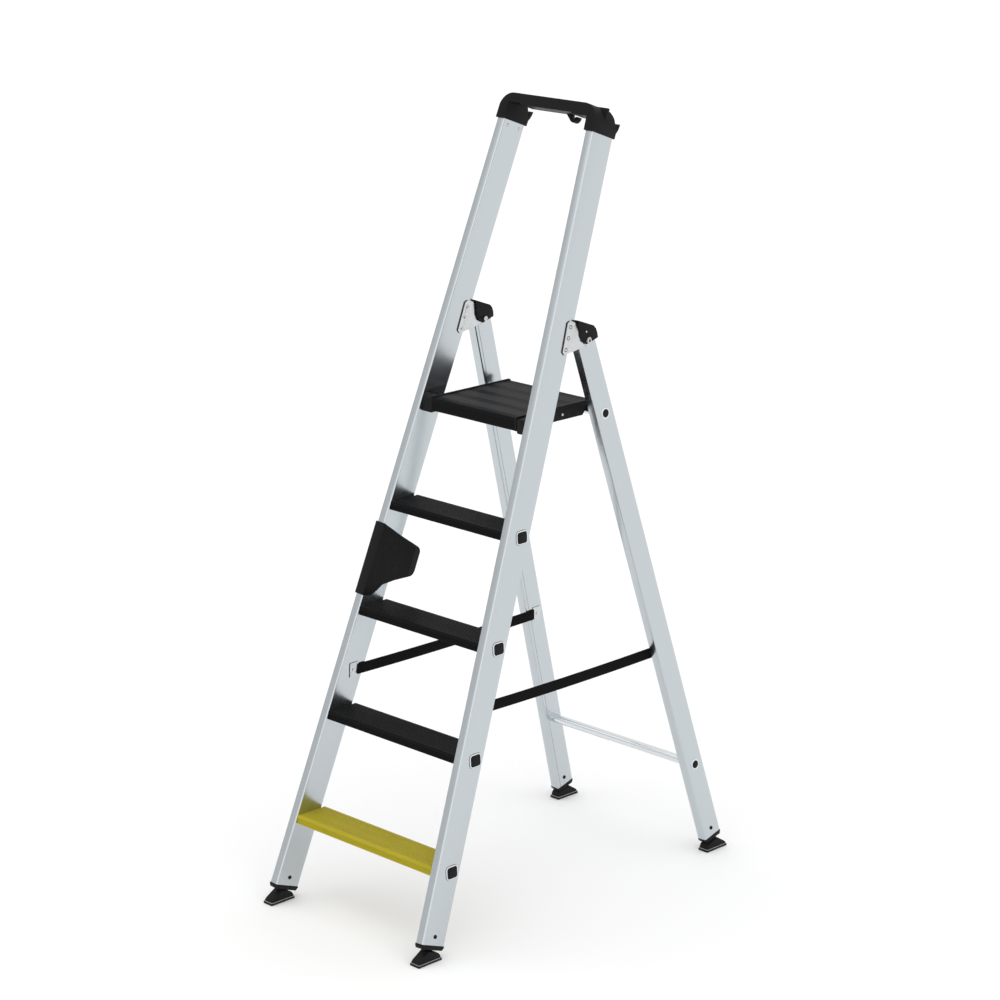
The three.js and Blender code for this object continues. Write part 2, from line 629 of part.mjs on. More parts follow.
function deck() {
  const [front, rear, top] = [deckFront, deckRear, deckTop];
  const { skin, lip, rearLip, nose } = PLATFORM;
  const ribs = [0.22, 0.46, 0.7].map((share) => front + share * PLATFORM.depth);
  const under = top - skin;
  const outline = [
    [front + 3, top], [front, top - 3], [front, top - lip], [front + skin, top - lip], [front + skin, under],
    ...ribs.flatMap((y) => [[y, under], [y, under - nose], [y + skin, under - nose], [y + skin, under]]),
    [rear - skin, under], [rear - skin, top - rearLip], [rear, top - rearLip], [rear, top],
  ];
  const half = railInner - GAP;
  return alongX(polygon(outline), -half, half);
}
place(ladder, 'platform_deck', deck(), blackPlastic);

// the notch that drops over the cross tube; its front wall slopes so that it lifts clear
function sideRail() {
  const [front, rear] = [deckFront, deckRear + RAIL.rearOverhang];
  const [bottom, top] = [deckTop - RAIL.drop, deckTop + RAIL.rim];
  const [ty, tz] = crossTubes.platform;
  const radius = CROSS_TUBE.radius + CROSS_TUBE.notchPlay;
  const body = alongX(polygon([
    [front, bottom], [rear, bottom], [rear, top - 2], [rear - 3, top], [front + 4, top], [front, top - 5],
  ]), railInner, railOuter);
  const notch = new THREE.Shape();
  notch.moveTo(ty + radius, bottom - 5);
  notch.lineTo(ty + radius, tz);
  notch.absarc(ty, tz, radius, 0, Math.PI);
  notch.lineTo(ty - radius - 12, bottom - 5);
  notch.closePath();
  const pinHole = rodX(PLATFORM_PIVOT.radius + RUNNING, railInner - 5, railInner + 15, ...platformPivot);
  return cut(body, alongX(notch, railInner - 1, railOuter + 1, 5), pinHole);
}
placeBoth('platform_rail', sideRail(), blackPlastic);

function platformBracket() {
  const { depth, height, below } = PLATFORM_BRACKET;
  const front = deckFront + 1;
  const bottom = deckTop - below;
  const block = between(
    roundedBox(depth, height, 4, [front + depth / 2, bottom + height / 2]),
    () => railOuter + RUNNING, (y, z) => stileInner(y, z) - GAP,
  );
  const pin = rodX(PLATFORM_PIVOT.radius, railInner + GAP, railOuter + 8, ...platformPivot);
  return join(block, pin);
}
placeBoth('platform_bracket', platformBracket(), blackPlastic);

// ---------------------------------------------------------------- straps and their clamps
function clamp(start, surface, rivetY) {
  const [length, z] = [CLAMP.length, STRAP.centreHeight];
  const plate = between(roundedBox(length, CLAMP.height, 2, [start + length / 2, z]),
    (a, b) => surface(a, b) - GAP - CLAMP.thickness, (a, b) => surface(a, b) - GAP);
  const face = surface(rivetY, z) - GAP - CLAMP.thickness;
  const head = rodX(CLAMP.rivetHead, face - 1.6, face + 0.8, rivetY, z, 12);
  return join(plate, head);
}
const frontClampEnd = FRONT_CLAMP_START + CLAMP.length;
const rearClampStart = REAR_CLAMP_END - CLAMP.length;
placeBoth('strap_clamp_front', clamp(FRONT_CLAMP_START, stileInner,
  FRONT_CLAMP_START + CLAMP.rivetInset), zincedSteel);
placeBoth('strap_clamp_rear', clamp(rearClampStart, legInner,
  REAR_CLAMP_END - CLAMP.rivetInset), zincedSteel);

function strap() {
  const { height, thickness, centreHeight, play } = STRAP;
  const [front, rear] = [frontClampEnd + GAP, rearClampStart - GAP];
  const [fromX, toX] = [stileInner(front, centreHeight), legInner(rear, centreHeight)];
  const outside = (y) => fromX + (toX - fromX) * (y - front) / (rear - front) - play;
  const side = roundedBox(rear - front, height, 0.3, [(front + rear) / 2, centreHeight]);
  return between(side, (y) => outside(y) - thickness, outside);
}
placeBoth('strap', strap(), webbing);

// ---------------------------------------------------------------- feet
// a plug in the end of a stile or leg, with a collar below it and a knuckle that carries the shoe
function footPlug(section, group, pin, along) {
  const { width, depth, wall, corner } = section;
  const end = along(TUBE_END);
  const fit = 2 * wall + 2 * GAP;
  const insert = upright(roundedBox(width - fit, depth - fit, corner - wall + 0.2), end - 2, end + COLLAR.insert, 2);
  const [half, low] = [depth / 2, end - COLLAR.height];
  const collar = alongX(polygon([
    [-half, end - GAP], [-half, end - 4], [-half + COLLAR.inset, low], [half - COLLAR.inset, low],
    [half, end - 4], [half, end - GAP],
  ]), -width / 2, width / 2);
  const { knuckle, knuckleWidth, pivotAlong } = SHOE;
  const lobe = new THREE.Shape();
  lobe.moveTo(-knuckle, low + 2);
  lobe.absarc(0, along(pivotAlong), knuckle, Math.PI, 2 * Math.PI);
  lobe.lineTo(knuckle, low + 2);
  lobe.closePath();
  const tongue = alongX(lobe, -knuckleWidth / 2, knuckleWidth / 2, 3);
  return join(insert, collar, tongue, into(group, pin));
}

// facing is 1 for the front shoes and -1 for the rear ones, whose outline is turned round
function shoeParts(halfWidth, taper, section, lean, floorY, facing) {
  const { length, width, pivotAlong, pin, knuckle, knuckleWidth, play } = SHOE;
  const [s, c] = [Math.sin(lean), Math.cos(lean)];
  const at = (up, back) => [floorY + facing * (up * s + back * c), up * c - back * s];
  const centre = halfWidth - section.width / 2 / Math.cos(taper);
  const ceiling = TUBE_END - COLLAR.height - play;
  const toe = at(ceiling, -knuckle - SHOE_SLOT_PLAY - 2.8);
  const heel = at(ceiling, length / 2 - 15);
  const y = (distance) => floorY + facing * distance;
  const outline = [
    [y(-length / 2), 0], [y(length / 2), 0], [y(length / 2), 8], [y(length / 2 - 3), 14.5], heel, toe,
    [y(5 - length / 2), 13.5], [y(-length / 2), 9],
  ];
  const ordered = facing > 0 ? outline : outline.reverse();
  const [py, pz] = at(pivotAlong, 0);
  const slotHalf = knuckleWidth / 2 + SHOE_SIDE_PLAY;
  const [slotFloor, slotRun] = [pivotAlong - knuckle - 1, knuckle + SHOE_SLOT_PLAY];
  const slotCorners = [
    at(slotFloor, -slotRun), at(slotFloor, slotRun), at(60, slotRun), at(60, -slotRun),
  ];
  const middle = centre - (pivotAlong + TUBE_END / 2 - COLLAR.height) / 2 * Math.tan(taper);
  const slot = alongX(polygon(facing > 0 ? slotCorners : slotCorners.reverse()),
    middle - slotHalf, middle + slotHalf);
  const body = alongX(polygon(ordered), centre - width / 2, centre + width / 2);
  const hole = rodX(pin + RUNNING, centre - width / 2 + 3, centre + width / 2 - 3, py, pz);
  const pinRod = rodX(pin, centre - width / 2 + 3 + GAP, centre + width / 2 - 3 - GAP, py, pz);
  return { shoe: cut(body, slot, hole), pinRod };
}

const frontShoe = shoeParts(FRONT_HALF_WIDTH, FRONT_TAPER, STILE, FRONT_LEAN, 0, 1);
const rearShoe = shoeParts(REAR_HALF_WIDTH, REAR_TAPER, LEG, REAR_LEAN, rearFloorY, -1);
placeBoth('shoe_front', frontShoe.shoe, blackRubber);
placeBoth('shoe_rear', rearShoe.shoe, blackRubber);
placePair(rightStile, leftStile, 'foot_plug_front',
  footPlug(STILE, rightStile, frontShoe.pinRod, alongStile), blackPlastic);
placePair(rightLeg, leftLeg, 'foot_plug_rear',
  footPlug(LEG, rightLeg, rearShoe.pinRod, alongLegLine), blackPlastic);

export default ladder;
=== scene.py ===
import json
import math

import bpy
from mathutils import Matrix, Vector


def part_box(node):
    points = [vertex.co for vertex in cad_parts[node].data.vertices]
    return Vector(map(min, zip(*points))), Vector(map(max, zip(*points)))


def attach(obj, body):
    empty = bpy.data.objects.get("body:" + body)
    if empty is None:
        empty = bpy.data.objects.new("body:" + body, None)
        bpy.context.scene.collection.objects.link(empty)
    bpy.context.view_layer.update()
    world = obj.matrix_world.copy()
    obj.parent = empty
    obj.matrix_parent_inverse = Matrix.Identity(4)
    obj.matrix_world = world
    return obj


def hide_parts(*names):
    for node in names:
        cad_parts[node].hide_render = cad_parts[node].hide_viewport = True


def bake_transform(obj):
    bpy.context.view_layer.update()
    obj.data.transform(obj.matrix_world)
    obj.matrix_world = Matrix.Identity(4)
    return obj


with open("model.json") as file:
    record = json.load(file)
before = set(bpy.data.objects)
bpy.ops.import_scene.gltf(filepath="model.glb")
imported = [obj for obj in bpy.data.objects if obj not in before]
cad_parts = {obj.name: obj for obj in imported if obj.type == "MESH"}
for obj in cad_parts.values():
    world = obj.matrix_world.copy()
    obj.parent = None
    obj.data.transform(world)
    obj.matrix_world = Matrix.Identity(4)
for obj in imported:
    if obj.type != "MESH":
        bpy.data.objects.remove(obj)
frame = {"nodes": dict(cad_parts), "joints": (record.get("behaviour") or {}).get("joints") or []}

bl_info = {
    "name": "Platform step ladder",
    "version": (1, 0, 0),
    "blender": (4, 5, 0),
    "location": "3D View > Sidebar > Ladder",
    "description": "Builds a folding aluminium platform step ladder piece by piece",
    "category": "Add Mesh",
}

MM = 0.001
SIDES = ("right", "left")
FRONT, REAR, PLATFORM = "front_frame", "rear_frame", "platform"
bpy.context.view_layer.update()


# ---------------------------------------------------------------- places read from the frame
def middle(node):
    low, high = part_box(node)
    return (low + high) / 2


def joint(name):
    return next(j for j in frame["joints"] if j["name"] == name)


pivot = Vector(joint("leg_fold")["pos_m"])
platform_pivot = Vector(joint("platform_tilt")["pos_m"])
front_foot, rear_foot = middle("shoe_front_right"), middle("shoe_rear_right")
REAR_LEAN = math.atan2(rear_foot.y - pivot.y, pivot.z)
FRONT_LEAN = math.radians(joint("leg_fold")["range_deg"][1]) - REAR_LEAN
FRONT_TAPER = math.radians(3.316)  # each stile leans in towards the middle
REAR_TAPER = math.radians(3.505)  # and so does each leg
STEP_COUNT = sum(name.startswith("step_") and "plug" not in name for name in frame["nodes"])


def turn(angle, axis):
    return Matrix.Rotation(angle, 4, axis)


# x across, y behind and z along, for the whole front or rear frame
front_frame = Matrix.Translation((0, front_foot.y, 0)) @ turn(-FRONT_LEAN, "X")
rear_frame = Matrix.Translation((0, rear_foot.y, 0)) @ turn(REAR_LEAN, "X")
# the same for the right-hand stile and leg, from their own middle lines
stile_frame = front_frame @ Matrix.Translation((front_foot.x, 0, 0)) @ turn(-FRONT_TAPER, "Y")
leg_frame = rear_frame @ Matrix.Translation((rear_foot.x, 0, 0)) @ turn(-REAR_TAPER, "Y")


def plane(matrix, offset):
    """A point and the normal of the plane at x = offset in a stile's or leg's own frame."""
    return matrix @ Vector((offset, 0, 0)), matrix.to_3x3() @ Vector((1, 0, 0))


# ---------------------------------------------------------------- properties
def length(name, millimetres, description):
    return bpy.props.FloatProperty(
        name=name, description=description, default=millimetres * MM, unit="LENGTH", precision=4)


def colour(name, rgb, description):
    return bpy.props.FloatVectorProperty(
        name=name, description=description, default=rgb, subtype="COLOR", size=3, min=0, max=1)


class LadderSizes(bpy.types.PropertyGroup):
    stile_width: length("Stile width", 22.7, "Width of a stile's section, across the ladder")
    stile_depth: length("Stile depth", 69.4, "Depth of a stile's section, front to back")
    leg_width: length("Leg width", 25, "Width of a leg's section, across the ladder")
    leg_depth: length("Leg depth", 53.6, "Depth of a leg's section, front to back")
    wall: length("Wall", 1.9, "Wall of the stiles and legs")
    corner: length("Corner", 3.5, "Outer corner radius of the stiles and legs")
    groove: length("Groove", 1.2, "Width of the groove along each leg's inner face")
    step_skin: length("Tread thickness", 3, "Thickness of a step's tread and of its nose")
    step_nose: length("Nose height", 20, "Height of a step's front lip")
    rib_pitch: length("Tread rib pitch", 6.4, "Distance between the ribs of a tread")
    rib_depth: length("Tread rib depth", 1.2, "Depth of the grooves between the ribs")
    tenon_width: length("Tenon width", 30.4, "Width of the box that carries a step through the stiles")
    tenon_height: length("Tenon height", 26.4, "Height of the same box")
    tenon_corner: length("Tenon corner", 6, "Corner radius of the same box")
    ring: length("Ring", 2.5, "How far a tenon's or cross tube's rolled end stands out round it")
    proud: length("Ring height", 1.7, "How far the rolled end stands off the stile or leg")
    plate: length("Hinge plate", 2.5, "Thickness of a hinge plate")
    strap_height: length("Webbing width", 25.4, "Width of the strap webbing")
    strap_sag: length("Strap sag", 3, "How far the middle of a strap hangs")
    grip_rib: length("Grip rib pitch", 6.6, "Distance between the ribs of the carry grip")
    grip_rib_width: length("Grip rib width", 2.6, "Width of each rib of the carry grip")
    grip_rib_rise: length("Grip rib height", 0.6, "How far the ribs stand off the carry grip")
    sole: length("Sole", 5.2, "Thickness of a shoe's ribbed sole")
    tread_tooth: length("Sole rib pitch", 4.2, "Distance between the ribs of a sole")


class LadderColours(bpy.types.PropertyGroup):
    aluminium: colour("Aluminium", (0.55, 0.59, 0.615), "Extruded tubes")
    polished: colour("Polished aluminium", (0.74, 0.77, 0.79), "Cross tubes and rolled rings")
    zinc: colour("Zinc plate", (0.62, 0.635, 0.645), "Hinge plates and strap clamps")
    steel: colour("Steel", (0.56, 0.55, 0.53), "Rivets, bolts and nuts")
    moulded: colour("Moulded plastic", (0.0080, 0.0080, 0.0083), "Caps, bracket, grip and plugs")
    coat: colour("Black coating", (0.0075, 0.0075, 0.0078), "Steps and platform")
    warning: colour("Yellow coating", (0.40, 0.335, 0.020), "Lowest step")
    rubber: colour("Rubber", (0.010, 0.010, 0.010), "Soles")
    webbing: colour("Webbing", (0.0025, 0.0025, 0.0028), "Straps")
    # painted shade: a dark colour laid on side faces and round rings, rivet heads and bolt ends where shade
    # falls
    edge: colour("Cut edge", (0.045, 0.043, 0.040), "Unplated edges of the plates and clamps")
    floor: colour("Floor", (0.93, 0.93, 0.93), "Studio floor")


def sizes():
    return bpy.context.scene.ladder_sizes


def colours():
    return bpy.context.scene.ladder_colours


# ---------------------------------------------------------------- modelling, as by hand
def only(obj):
    """Selects obj alone and makes it active, in object mode."""
    if bpy.context.object and bpy.context.object.mode != "OBJECT":
        bpy.ops.object.mode_set(mode="OBJECT")
    bpy.ops.object.select_all(action="DESELECT")
    if obj:
        obj.select_set(True)
        bpy.context.view_layer.objects.active = obj


def name_it(obj, name):
    obj.name = obj.data.name = name
    return obj


def edit(obj, action="SELECT", kind="VERT"):
    only(obj)
    bpy.ops.object.mode_set(mode="EDIT")
    bpy.ops.mesh.select_mode(type=kind)
    bpy.ops.mesh.select_all(action=action)


def leave():
    bpy.ops.object.mode_set(mode="OBJECT")


def edit_where(obj, kind, test):
    """Edit mode with only the faces, edges or vertices selected whose middle and normal pass."""
    edit(obj, "DESELECT", kind)
    leave()
    mesh = obj.data
    if kind == "FACE":
        for face in mesh.polygons:
            face.select = test(face.center, face.normal)
    elif kind == "EDGE":
        for edge in mesh.edges:
            a, b = (mesh.vertices[i].co for i in edge.vertices)
            edge.select = test((a + b) / 2, (b - a).normalized())
    else:
        for vertex in mesh.vertices:
            vertex.select = test(vertex.co, vertex.normal)
    bpy.ops.object.mode_set(mode="EDIT")


def tidy(obj, merge=1e-6):
    """Merges doubled points and turns every face outwards."""
    edit(obj)
    bpy.ops.mesh.remove_doubles(threshold=merge)
    bpy.ops.mesh.normals_make_consistent(inside=False)
    leave()


def modify(obj, kind, **settings):
    only(obj)
    modifier = obj.modifiers.new(kind.title(), kind)
    for key, value in settings.items():
        setattr(modifier, key, value)
    bpy.ops.object.modifier_apply(modifier=modifier.name)
    if not obj.data.polygons:
        raise RuntimeError(f"{kind} left nothing of {obj.name}")


def round_off(obj, width, segments=2, angle=30):
    modify(obj, "BEVEL", width=width * MM, segments=segments, limit_method="ANGLE",
           angle_limit=math.radians(angle), use_clamp_overlap=True)


def smooth(obj, angle=32):
    only(obj)
    bpy.ops.object.shade_smooth_by_angle(angle=math.radians(angle))


def settle(obj, matrix=None):
    """Moves a piece by matrix and puts its place into its mesh."""
    only(obj)
    if matrix:
        obj.matrix_world = matrix @ obj.matrix_world
    bpy.ops.object.transform_apply(location=True, rotation=True, scale=True)
    return obj


def arc(centre, radius, start, end, steps):
    """Points along a circle, with the angles in degrees."""
    for i in range(steps + 1):
        angle = math.radians(start + (end - start) * i / steps)
        yield centre[0] + radius * math.cos(angle), centre[1] + radius * math.sin(angle)


def rounded_box(width, height, corner, centre=(0, 0), steps=6):
    w, h = width / 2 - corner, height / 2 - corner
    points = []
    for i, (sx, sy) in enumerate(((1, 1), (-1, 1), (-1, -1), (1, -1))):
        at = centre[0] + sx * w, centre[1] + sy * h
        points += arc(at, corner, 90 * i, 90 * i + 90, steps)
    return points


TO_SPACE = {
    "X": lambda a, b: Vector((0, a, b)) * MM,
    "Y": lambda a, b: Vector((a, 0, b)) * MM,
    "Z": lambda a, b: Vector((a, b, 0)) * MM,
}
ALONG = {"X": Vector((MM, 0, 0)), "Y": Vector((0, MM, 0)), "Z": Vector((0, 0, MM))}


def traced(points, axis, low=0):
    """One corner of a plane, extruded from point to point round an outline in millimetres."""
    only(None)
    bpy.ops.mesh.primitive_plane_add(size=MM)
    obj = bpy.context.object
    edit(obj)
    bpy.ops.mesh.merge(type="CENTER")
    places = [TO_SPACE[axis](*p) + ALONG[axis] * low for p in points]
    bpy.ops.transform.translate(value=places[0])
    for before, after in zip(places, places[1:]):
        bpy.ops.mesh.extrude_vertices_move(TRANSFORM_OT_translate={"value": after - before})
    return obj


def extruded(name, points, axis, low, high):
    """A solid with this outline, in millimetres, that runs from low to high along the axis."""
    obj = traced(points, axis, low)
    bpy.ops.mesh.select_all(action="SELECT")
    bpy.ops.mesh.edge_face_add()
    bpy.ops.mesh.extrude_region_move(TRANSFORM_OT_translate={"value": ALONG[axis] * (high - low)})
    leave()
    tidy(obj)
    return name_it(obj, name)


def turned(name, profile, steps=32):
    """A turned piece round the X axis; the profile holds x and radius in millimetres."""
    obj = traced(profile, "Y")
    bpy.ops.mesh.select_all(action="SELECT")
    bpy.ops.mesh.spin(steps=steps, angle=2 * math.pi, center=(0, 0, 0), axis=(1, 0, 0))
    leave()
    tidy(obj)
    return name_it(obj, name)


def rod(name, radius, low, high, centre=(0, 0), sides=48):
    """A round bar along X, in millimetres, with its axis at y, z = centre in metres."""
    only(None)
    bpy.ops.mesh.primitive_cylinder_add(
        vertices=sides, radius=radius * MM, depth=(high - low) * MM, rotation=(0, math.pi / 2, 0),
        location=((low + high) / 2 * MM, *centre))
    return settle(name_it(bpy.context.object, name))


def cut_off(obj, point, normal, fill=True):
    """Cuts away what lies beyond a plane and closes the cut."""
    edit(obj)
    bpy.ops.mesh.bisect(plane_co=point, plane_no=normal, use_fill=fill, clear_outer=True)
    leave()


def both_ends(obj, matrix, offset):
    """Cuts a piece that crosses the ladder at the two planes x = +-offset of the stiles or legs."""
    point, normal = plane(matrix, offset)
    for side in (1, -1):
        flip = Vector((side, 1, 1))
        cut_off(obj, point * flip, normal * flip)


def facing(direction, share=0.98):
    return lambda centre, normal: normal.dot(direction) > share


def socket_in(obj, direction, inset, depth):
    """Insets the end face that looks along direction and sinks it."""
    edit_where(obj, "FACE", facing(direction))
    bpy.ops.mesh.inset(thickness=inset * MM, use_even_offset=True)
    bpy.ops.mesh.extrude_region_move(TRANSFORM_OT_translate={"value": direction * -depth * MM})
    leave()


def joined(name, *objects):
    only(objects[0])
    for obj in objects[1:]:
        obj.select_set(True)
    bpy.ops.object.join()
    return name_it(objects[0], name)


def mirror_image(obj, name):
    only(obj)
    bpy.ops.object.duplicate()
    copy = bpy.context.object
    copy.data.materials.clear()
    copy.scale.x = -1
    settle(copy)
    edit(copy)
    bpy.ops.mesh.normals_make_consistent(inside=False)
    leave()
    return name_it(copy, name)


def from_cad(node, name, bevel=1.0, segments=3, angle=28, below=None):
    """A finer piece on a CAD node's shape: its triangles merged and its edges rounded."""
    only(None)
    mesh = frame["nodes"][node].data.copy()
    obj = bpy.data.objects.new(name, mesh)
    bpy.context.scene.collection.objects.link(obj)
    mesh.materials.clear()
    edit(obj)
    bpy.ops.mesh.remove_doubles(threshold=2e-5)
    bpy.ops.mesh.normals_make_consistent(inside=False)
    bpy.ops.mesh.dissolve_limited(angle_limit=math.radians(1.5))
    leave()
    if below is not None:
        cut_off(obj, (0, 0, below), (0, 0, -1))
    if bevel:
        round_off(obj, bevel, segments, angle)
    return name_it(obj, name)


def dress(obj, finish, body, slot, *nodes, angle=32, edge=None):
    """Gives a finished piece its material, body and CAD nodes; edge covers its cut sides; slot is not used.
    """
    smooth(obj, angle)
    obj.data.materials.clear()
    obj.data.materials.append(finish)
    # edge is a dark finish of painted shade; it goes on every face that does not look sideways, such as a
    # plate's side faces
    if edge:
        obj.data.materials.append(edge)
        for face in obj.data.polygons:
            face.material_index = int(abs(face.normal.x) < 0.3)
    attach(obj, body)
    if nodes:
        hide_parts(*nodes)
    return obj


def dress_pair(right, finish, body, slot, *stems, angle=32, edge=None):
    """Dresses a right-hand piece and its mirror image; its name ends in _right."""
    name = right.name.removesuffix("_right")
    left = mirror_image(right, f"{name}_left")
    for side, obj in zip(SIDES, (right, left)):
        dress(obj, finish, body, slot, *(f"{stem}_{side}" for stem in stems), angle=angle, edge=edge)


# ---------------------------------------------------------------- shader expressions
class Value:
    """A shader socket that adds Math nodes as it is used in an expression."""

    def __init__(self, finish, socket):
        self.finish, self.socket = finish, socket

    def math(self, operation, *others):
        return self.finish.node("ShaderNodeMath", {"operation": operation}, self, *others)

    def __add__(self, other):
        return self.math("ADD", other)

    __radd__ = __add__

    def __mul__(self, other):
        return self.math("MULTIPLY", other)

    __rmul__ = __mul__

    def __sub__(self, other):
        return self.math("SUBTRACT", other)

    def __rsub__(self, other):
        return self.finish.node("ShaderNodeMath", {"operation": "SUBTRACT"}, other, self)

    def __gt__(self, other):
        return self.math("GREATER_THAN", other)

    def __lt__(self, other):
        return self.math("LESS_THAN", other)

    def sine(self):
        return self.math("SINE")

    def clamped(self):
        return self.finish.node("ShaderNodeClamp", {}, self)


class Finish:
    """A material under construction, with a Principled shader at its end."""

    def __init__(self, name, rgb, roughness, metallic=0.0, specular=0.5):
        self.material = bpy.data.materials.new(name)
        self.material.use_nodes = True
        self.tree = self.material.node_tree
        self.shader = self.tree.nodes["Principled BSDF"]
        self.set(self.shader, "Base Color", (*rgb, 1))
        self.set(self.shader, "Roughness", roughness)
        self.set(self.shader, "Metallic", metallic)
        self.set(self.shader, "Specular IOR Level", specular)

    def set(self, node, socket, value):
        target = node.inputs[socket]
        if isinstance(value, Value):
            self.tree.links.new(value.socket, target)
        else:
            target.default_value = value

    def node(self, kind, settings, *values, out=0, **named):
        """Adds a node: its settings first, then its sockets in order or by name."""
        node = self.tree.nodes.new(kind)
        for key, value in settings.items():
            setattr(node, key, value)
        for i, value in enumerate(values):
            self.set(node, i, value)
        for key, value in named.items():
            self.set(node, key.replace("_", " "), value)
        return Value(self, node.outputs[out])

    def place(self, turned_back=0.0, stretch=(1, 1, 1)):
        """Object coordinates, turned back by a lean about X, then stretched."""
        where = self.node("ShaderNodeTexCoord", {}, out="Object")
        leant = self.node("ShaderNodeMapping", {}, where, Rotation=(turned_back, 0, 0))
        return self.node("ShaderNodeMapping", {}, leant, Scale=stretch)

    def parts(self, place):
        """The x, y and z of a place."""
        split = self.node("ShaderNodeSeparateXYZ", {}, place)
        return [Value(self, socket) for socket in split.socket.node.outputs]

    def noise(self, place, scale, detail=3.0):
        return self.node("ShaderNodeTexNoise", {}, Vector=place, Scale=scale, Detail=detail)

    def colour_between(self, share, dark, light):
        mix = self.tree.nodes.new("ShaderNodeMix")
        mix.data_type = "RGBA"
        self.set(mix, 0, share)
        mix.inputs[6].default_value, mix.inputs[7].default_value = (*dark, 1), (*light, 1)
        self.set(self.shader, "Base Color", Value(self, mix.outputs[2]))

    def bump(self, height, strength, distance):
        normal = self.node("ShaderNodeBump", {}, Strength=strength, Distance=distance, Height=height)
        self.set(self.shader, "Normal", normal)

    def roughness(self, value):
        self.set(self.shader, "Roughness", value)


def shade(rgb, factor):
    return tuple(min(1.0, c * factor) for c in rgb)


def extruded_aluminium(name, lean, across=(1, 1, 0.012)):
    """Satin extrusion: fine die lines along its length, and faint clouds of handling."""
    base = colours().aluminium
    finish = Finish(name, base, 0.24, metallic=1.0)
    lines = finish.noise(finish.place(lean, across), 900.0, 2.0)
    clouds = finish.noise(finish.place(), 9.0, 4.0)
    finish.colour_between(lines * 0.6 + clouds * 0.4, shade(base, 0.965), shade(base, 1.03))
    finish.roughness(clouds * 0.09 + lines * 0.05 + 0.15)
    finish.bump(lines, 0.12, 0.0002)
    return finish.material


def polished_aluminium():
    base = colours().polished
    finish = Finish("polished_aluminium", base, 0.16, metallic=1.0)
    rings = finish.noise(finish.place(0.0, (0.02, 1, 1)), 700.0, 2.0)
    finish.colour_between(rings, shade(base, 0.93), shade(base, 1.05))
    finish.roughness(rings * 0.08 + 0.1)
    finish.bump(rings, 0.08, 0.0001)
    return finish.material


def zinc_plate():
    """Passivated zinc: a fine mottle and slightly uneven shine."""
    base = colours().zinc
    finish = Finish("zinc_plate", base, 0.3, metallic=1.0)
    place = finish.place()
    spangle = finish.noise(place, 260.0, 3.0)
    finish.colour_between(spangle, shade(base, 0.96), shade(base, 1.04))
    finish.roughness(finish.noise(place, 60.0) * 0.12 + 0.22)
    finish.bump(spangle, 0.04, 0.0001)
    return finish.material


# Painted shade: a dark finish laid where shade falls, on the side faces of the hinge plates and clamps and
# round the rings, rivet heads and bolt ends.
def painted_shade_edge():
    base = colours().edge
    finish = Finish("painted_shade_edge", base, 0.45, metallic=0.6, specular=0.3)
    grit = finish.noise(finish.place(), 700.0, 4.0)
    finish.colour_between(grit, shade(base, 0.7), shade(base, 1.5))
    finish.roughness(grit * 0.2 + 0.35)
    finish.bump(grit, 0.2, 0.0002)
    return finish.material


def bright_steel():
    base = colours().steel
    finish = Finish("bright_steel", base, 0.28, metallic=1.0)
    place = finish.place()
    scratches = finish.noise(place, 1200.0, 2.0)
    finish.colour_between(scratches, shade(base, 0.8), shade(base, 1.25))
    finish.roughness(finish.noise(place, 150.0) * 0.2 + 0.18)
    finish.bump(scratches, 0.15, 0.0001)
    return finish.material


def moulded_plastic(name="moulded_plastic"):
    """Moulded polyamide: a fine leathery grain and a faint bloom where hands rub it."""
    base = colours().moulded
    finish = Finish(name, base, 0.5, specular=0.10)
    place = finish.place()
    grain = finish.noise(place, 1500.0, 2.0)
    bloom = finish.noise(place, 22.0, 4.0)
    finish.colour_between(bloom * 0.7 + grain * 0.3, shade(base, 0.75), shade(base, 1.35))
    finish.roughness(bloom * 0.16 + 0.4)
    finish.bump(grain, 0.22, 0.0003)
    return finish.material


def powder_coat(name, base, specular):
    """Satin powder coat: orange peel, and scuffs that follow the tread's ribs."""
    finish = Finish(name, base, 0.45, specular=specular)
    finish.set(finish.shader, "IOR", 1.25)
    place = finish.place()
    peel = finish.noise(place, 420.0, 2.0)
    scuffs = finish.noise(finish.place(0.0, (0.12, 1, 1)), 60.0, 5.0)
    finish.colour_between(scuffs * 0.8 + peel * 0.2, shade(base, 0.82), shade(base, 1.22))
    lines = finish.noise(finish.place(0.0, (0.01, 1, 1)), 1400.0, 2.0)
    finish.roughness(scuffs * 0.14 + lines * 0.1 + 0.32)
    finish.bump(peel * 0.3 + lines * 0.7, 0.35, 0.0003)
    return finish.material


def deck_coat(bands):
    """Black deck whose ribbed bands are painted a paler, mottled grey; bands holds their edges in y."""
    base = colours().coat
    finish = Finish("deck_coat", base, 0.45, specular=0.11)
    finish.set(finish.shader, "IOR", 1.2)
    place = finish.place()
    y = finish.parts(place)[1]
    mask = 0
    for low, high in bands:
        mask = mask + (y > low) * (y < high)
    peel = finish.noise(place, 420.0, 2.0)
    band_mottle = finish.noise(finish.place(0.0, (0.15, 1, 1)), 50.0, 5.0)
    share = (mask * (band_mottle * 0.5 + 0.5) + peel * 0.06).clamped()
    finish.colour_between(share, base, shade(base, 7.0))
    finish.roughness(band_mottle * 0.2 + 0.34)
    finish.bump(peel, 0.16, 0.0003)
    return finish.material


def sole_rubber():
    base = colours().rubber
    finish = Finish("sole_rubber", base, 0.8, specular=0.15)
    place = finish.place()
    dust = finish.noise(place, 140.0, 5.0)
    finish.colour_between(dust, shade(base, 0.8), shade(base, 1.8))
    finish.roughness(dust * 0.2 + 0.65)
    finish.bump(dust, 0.3, 0.0004)
    return finish.material


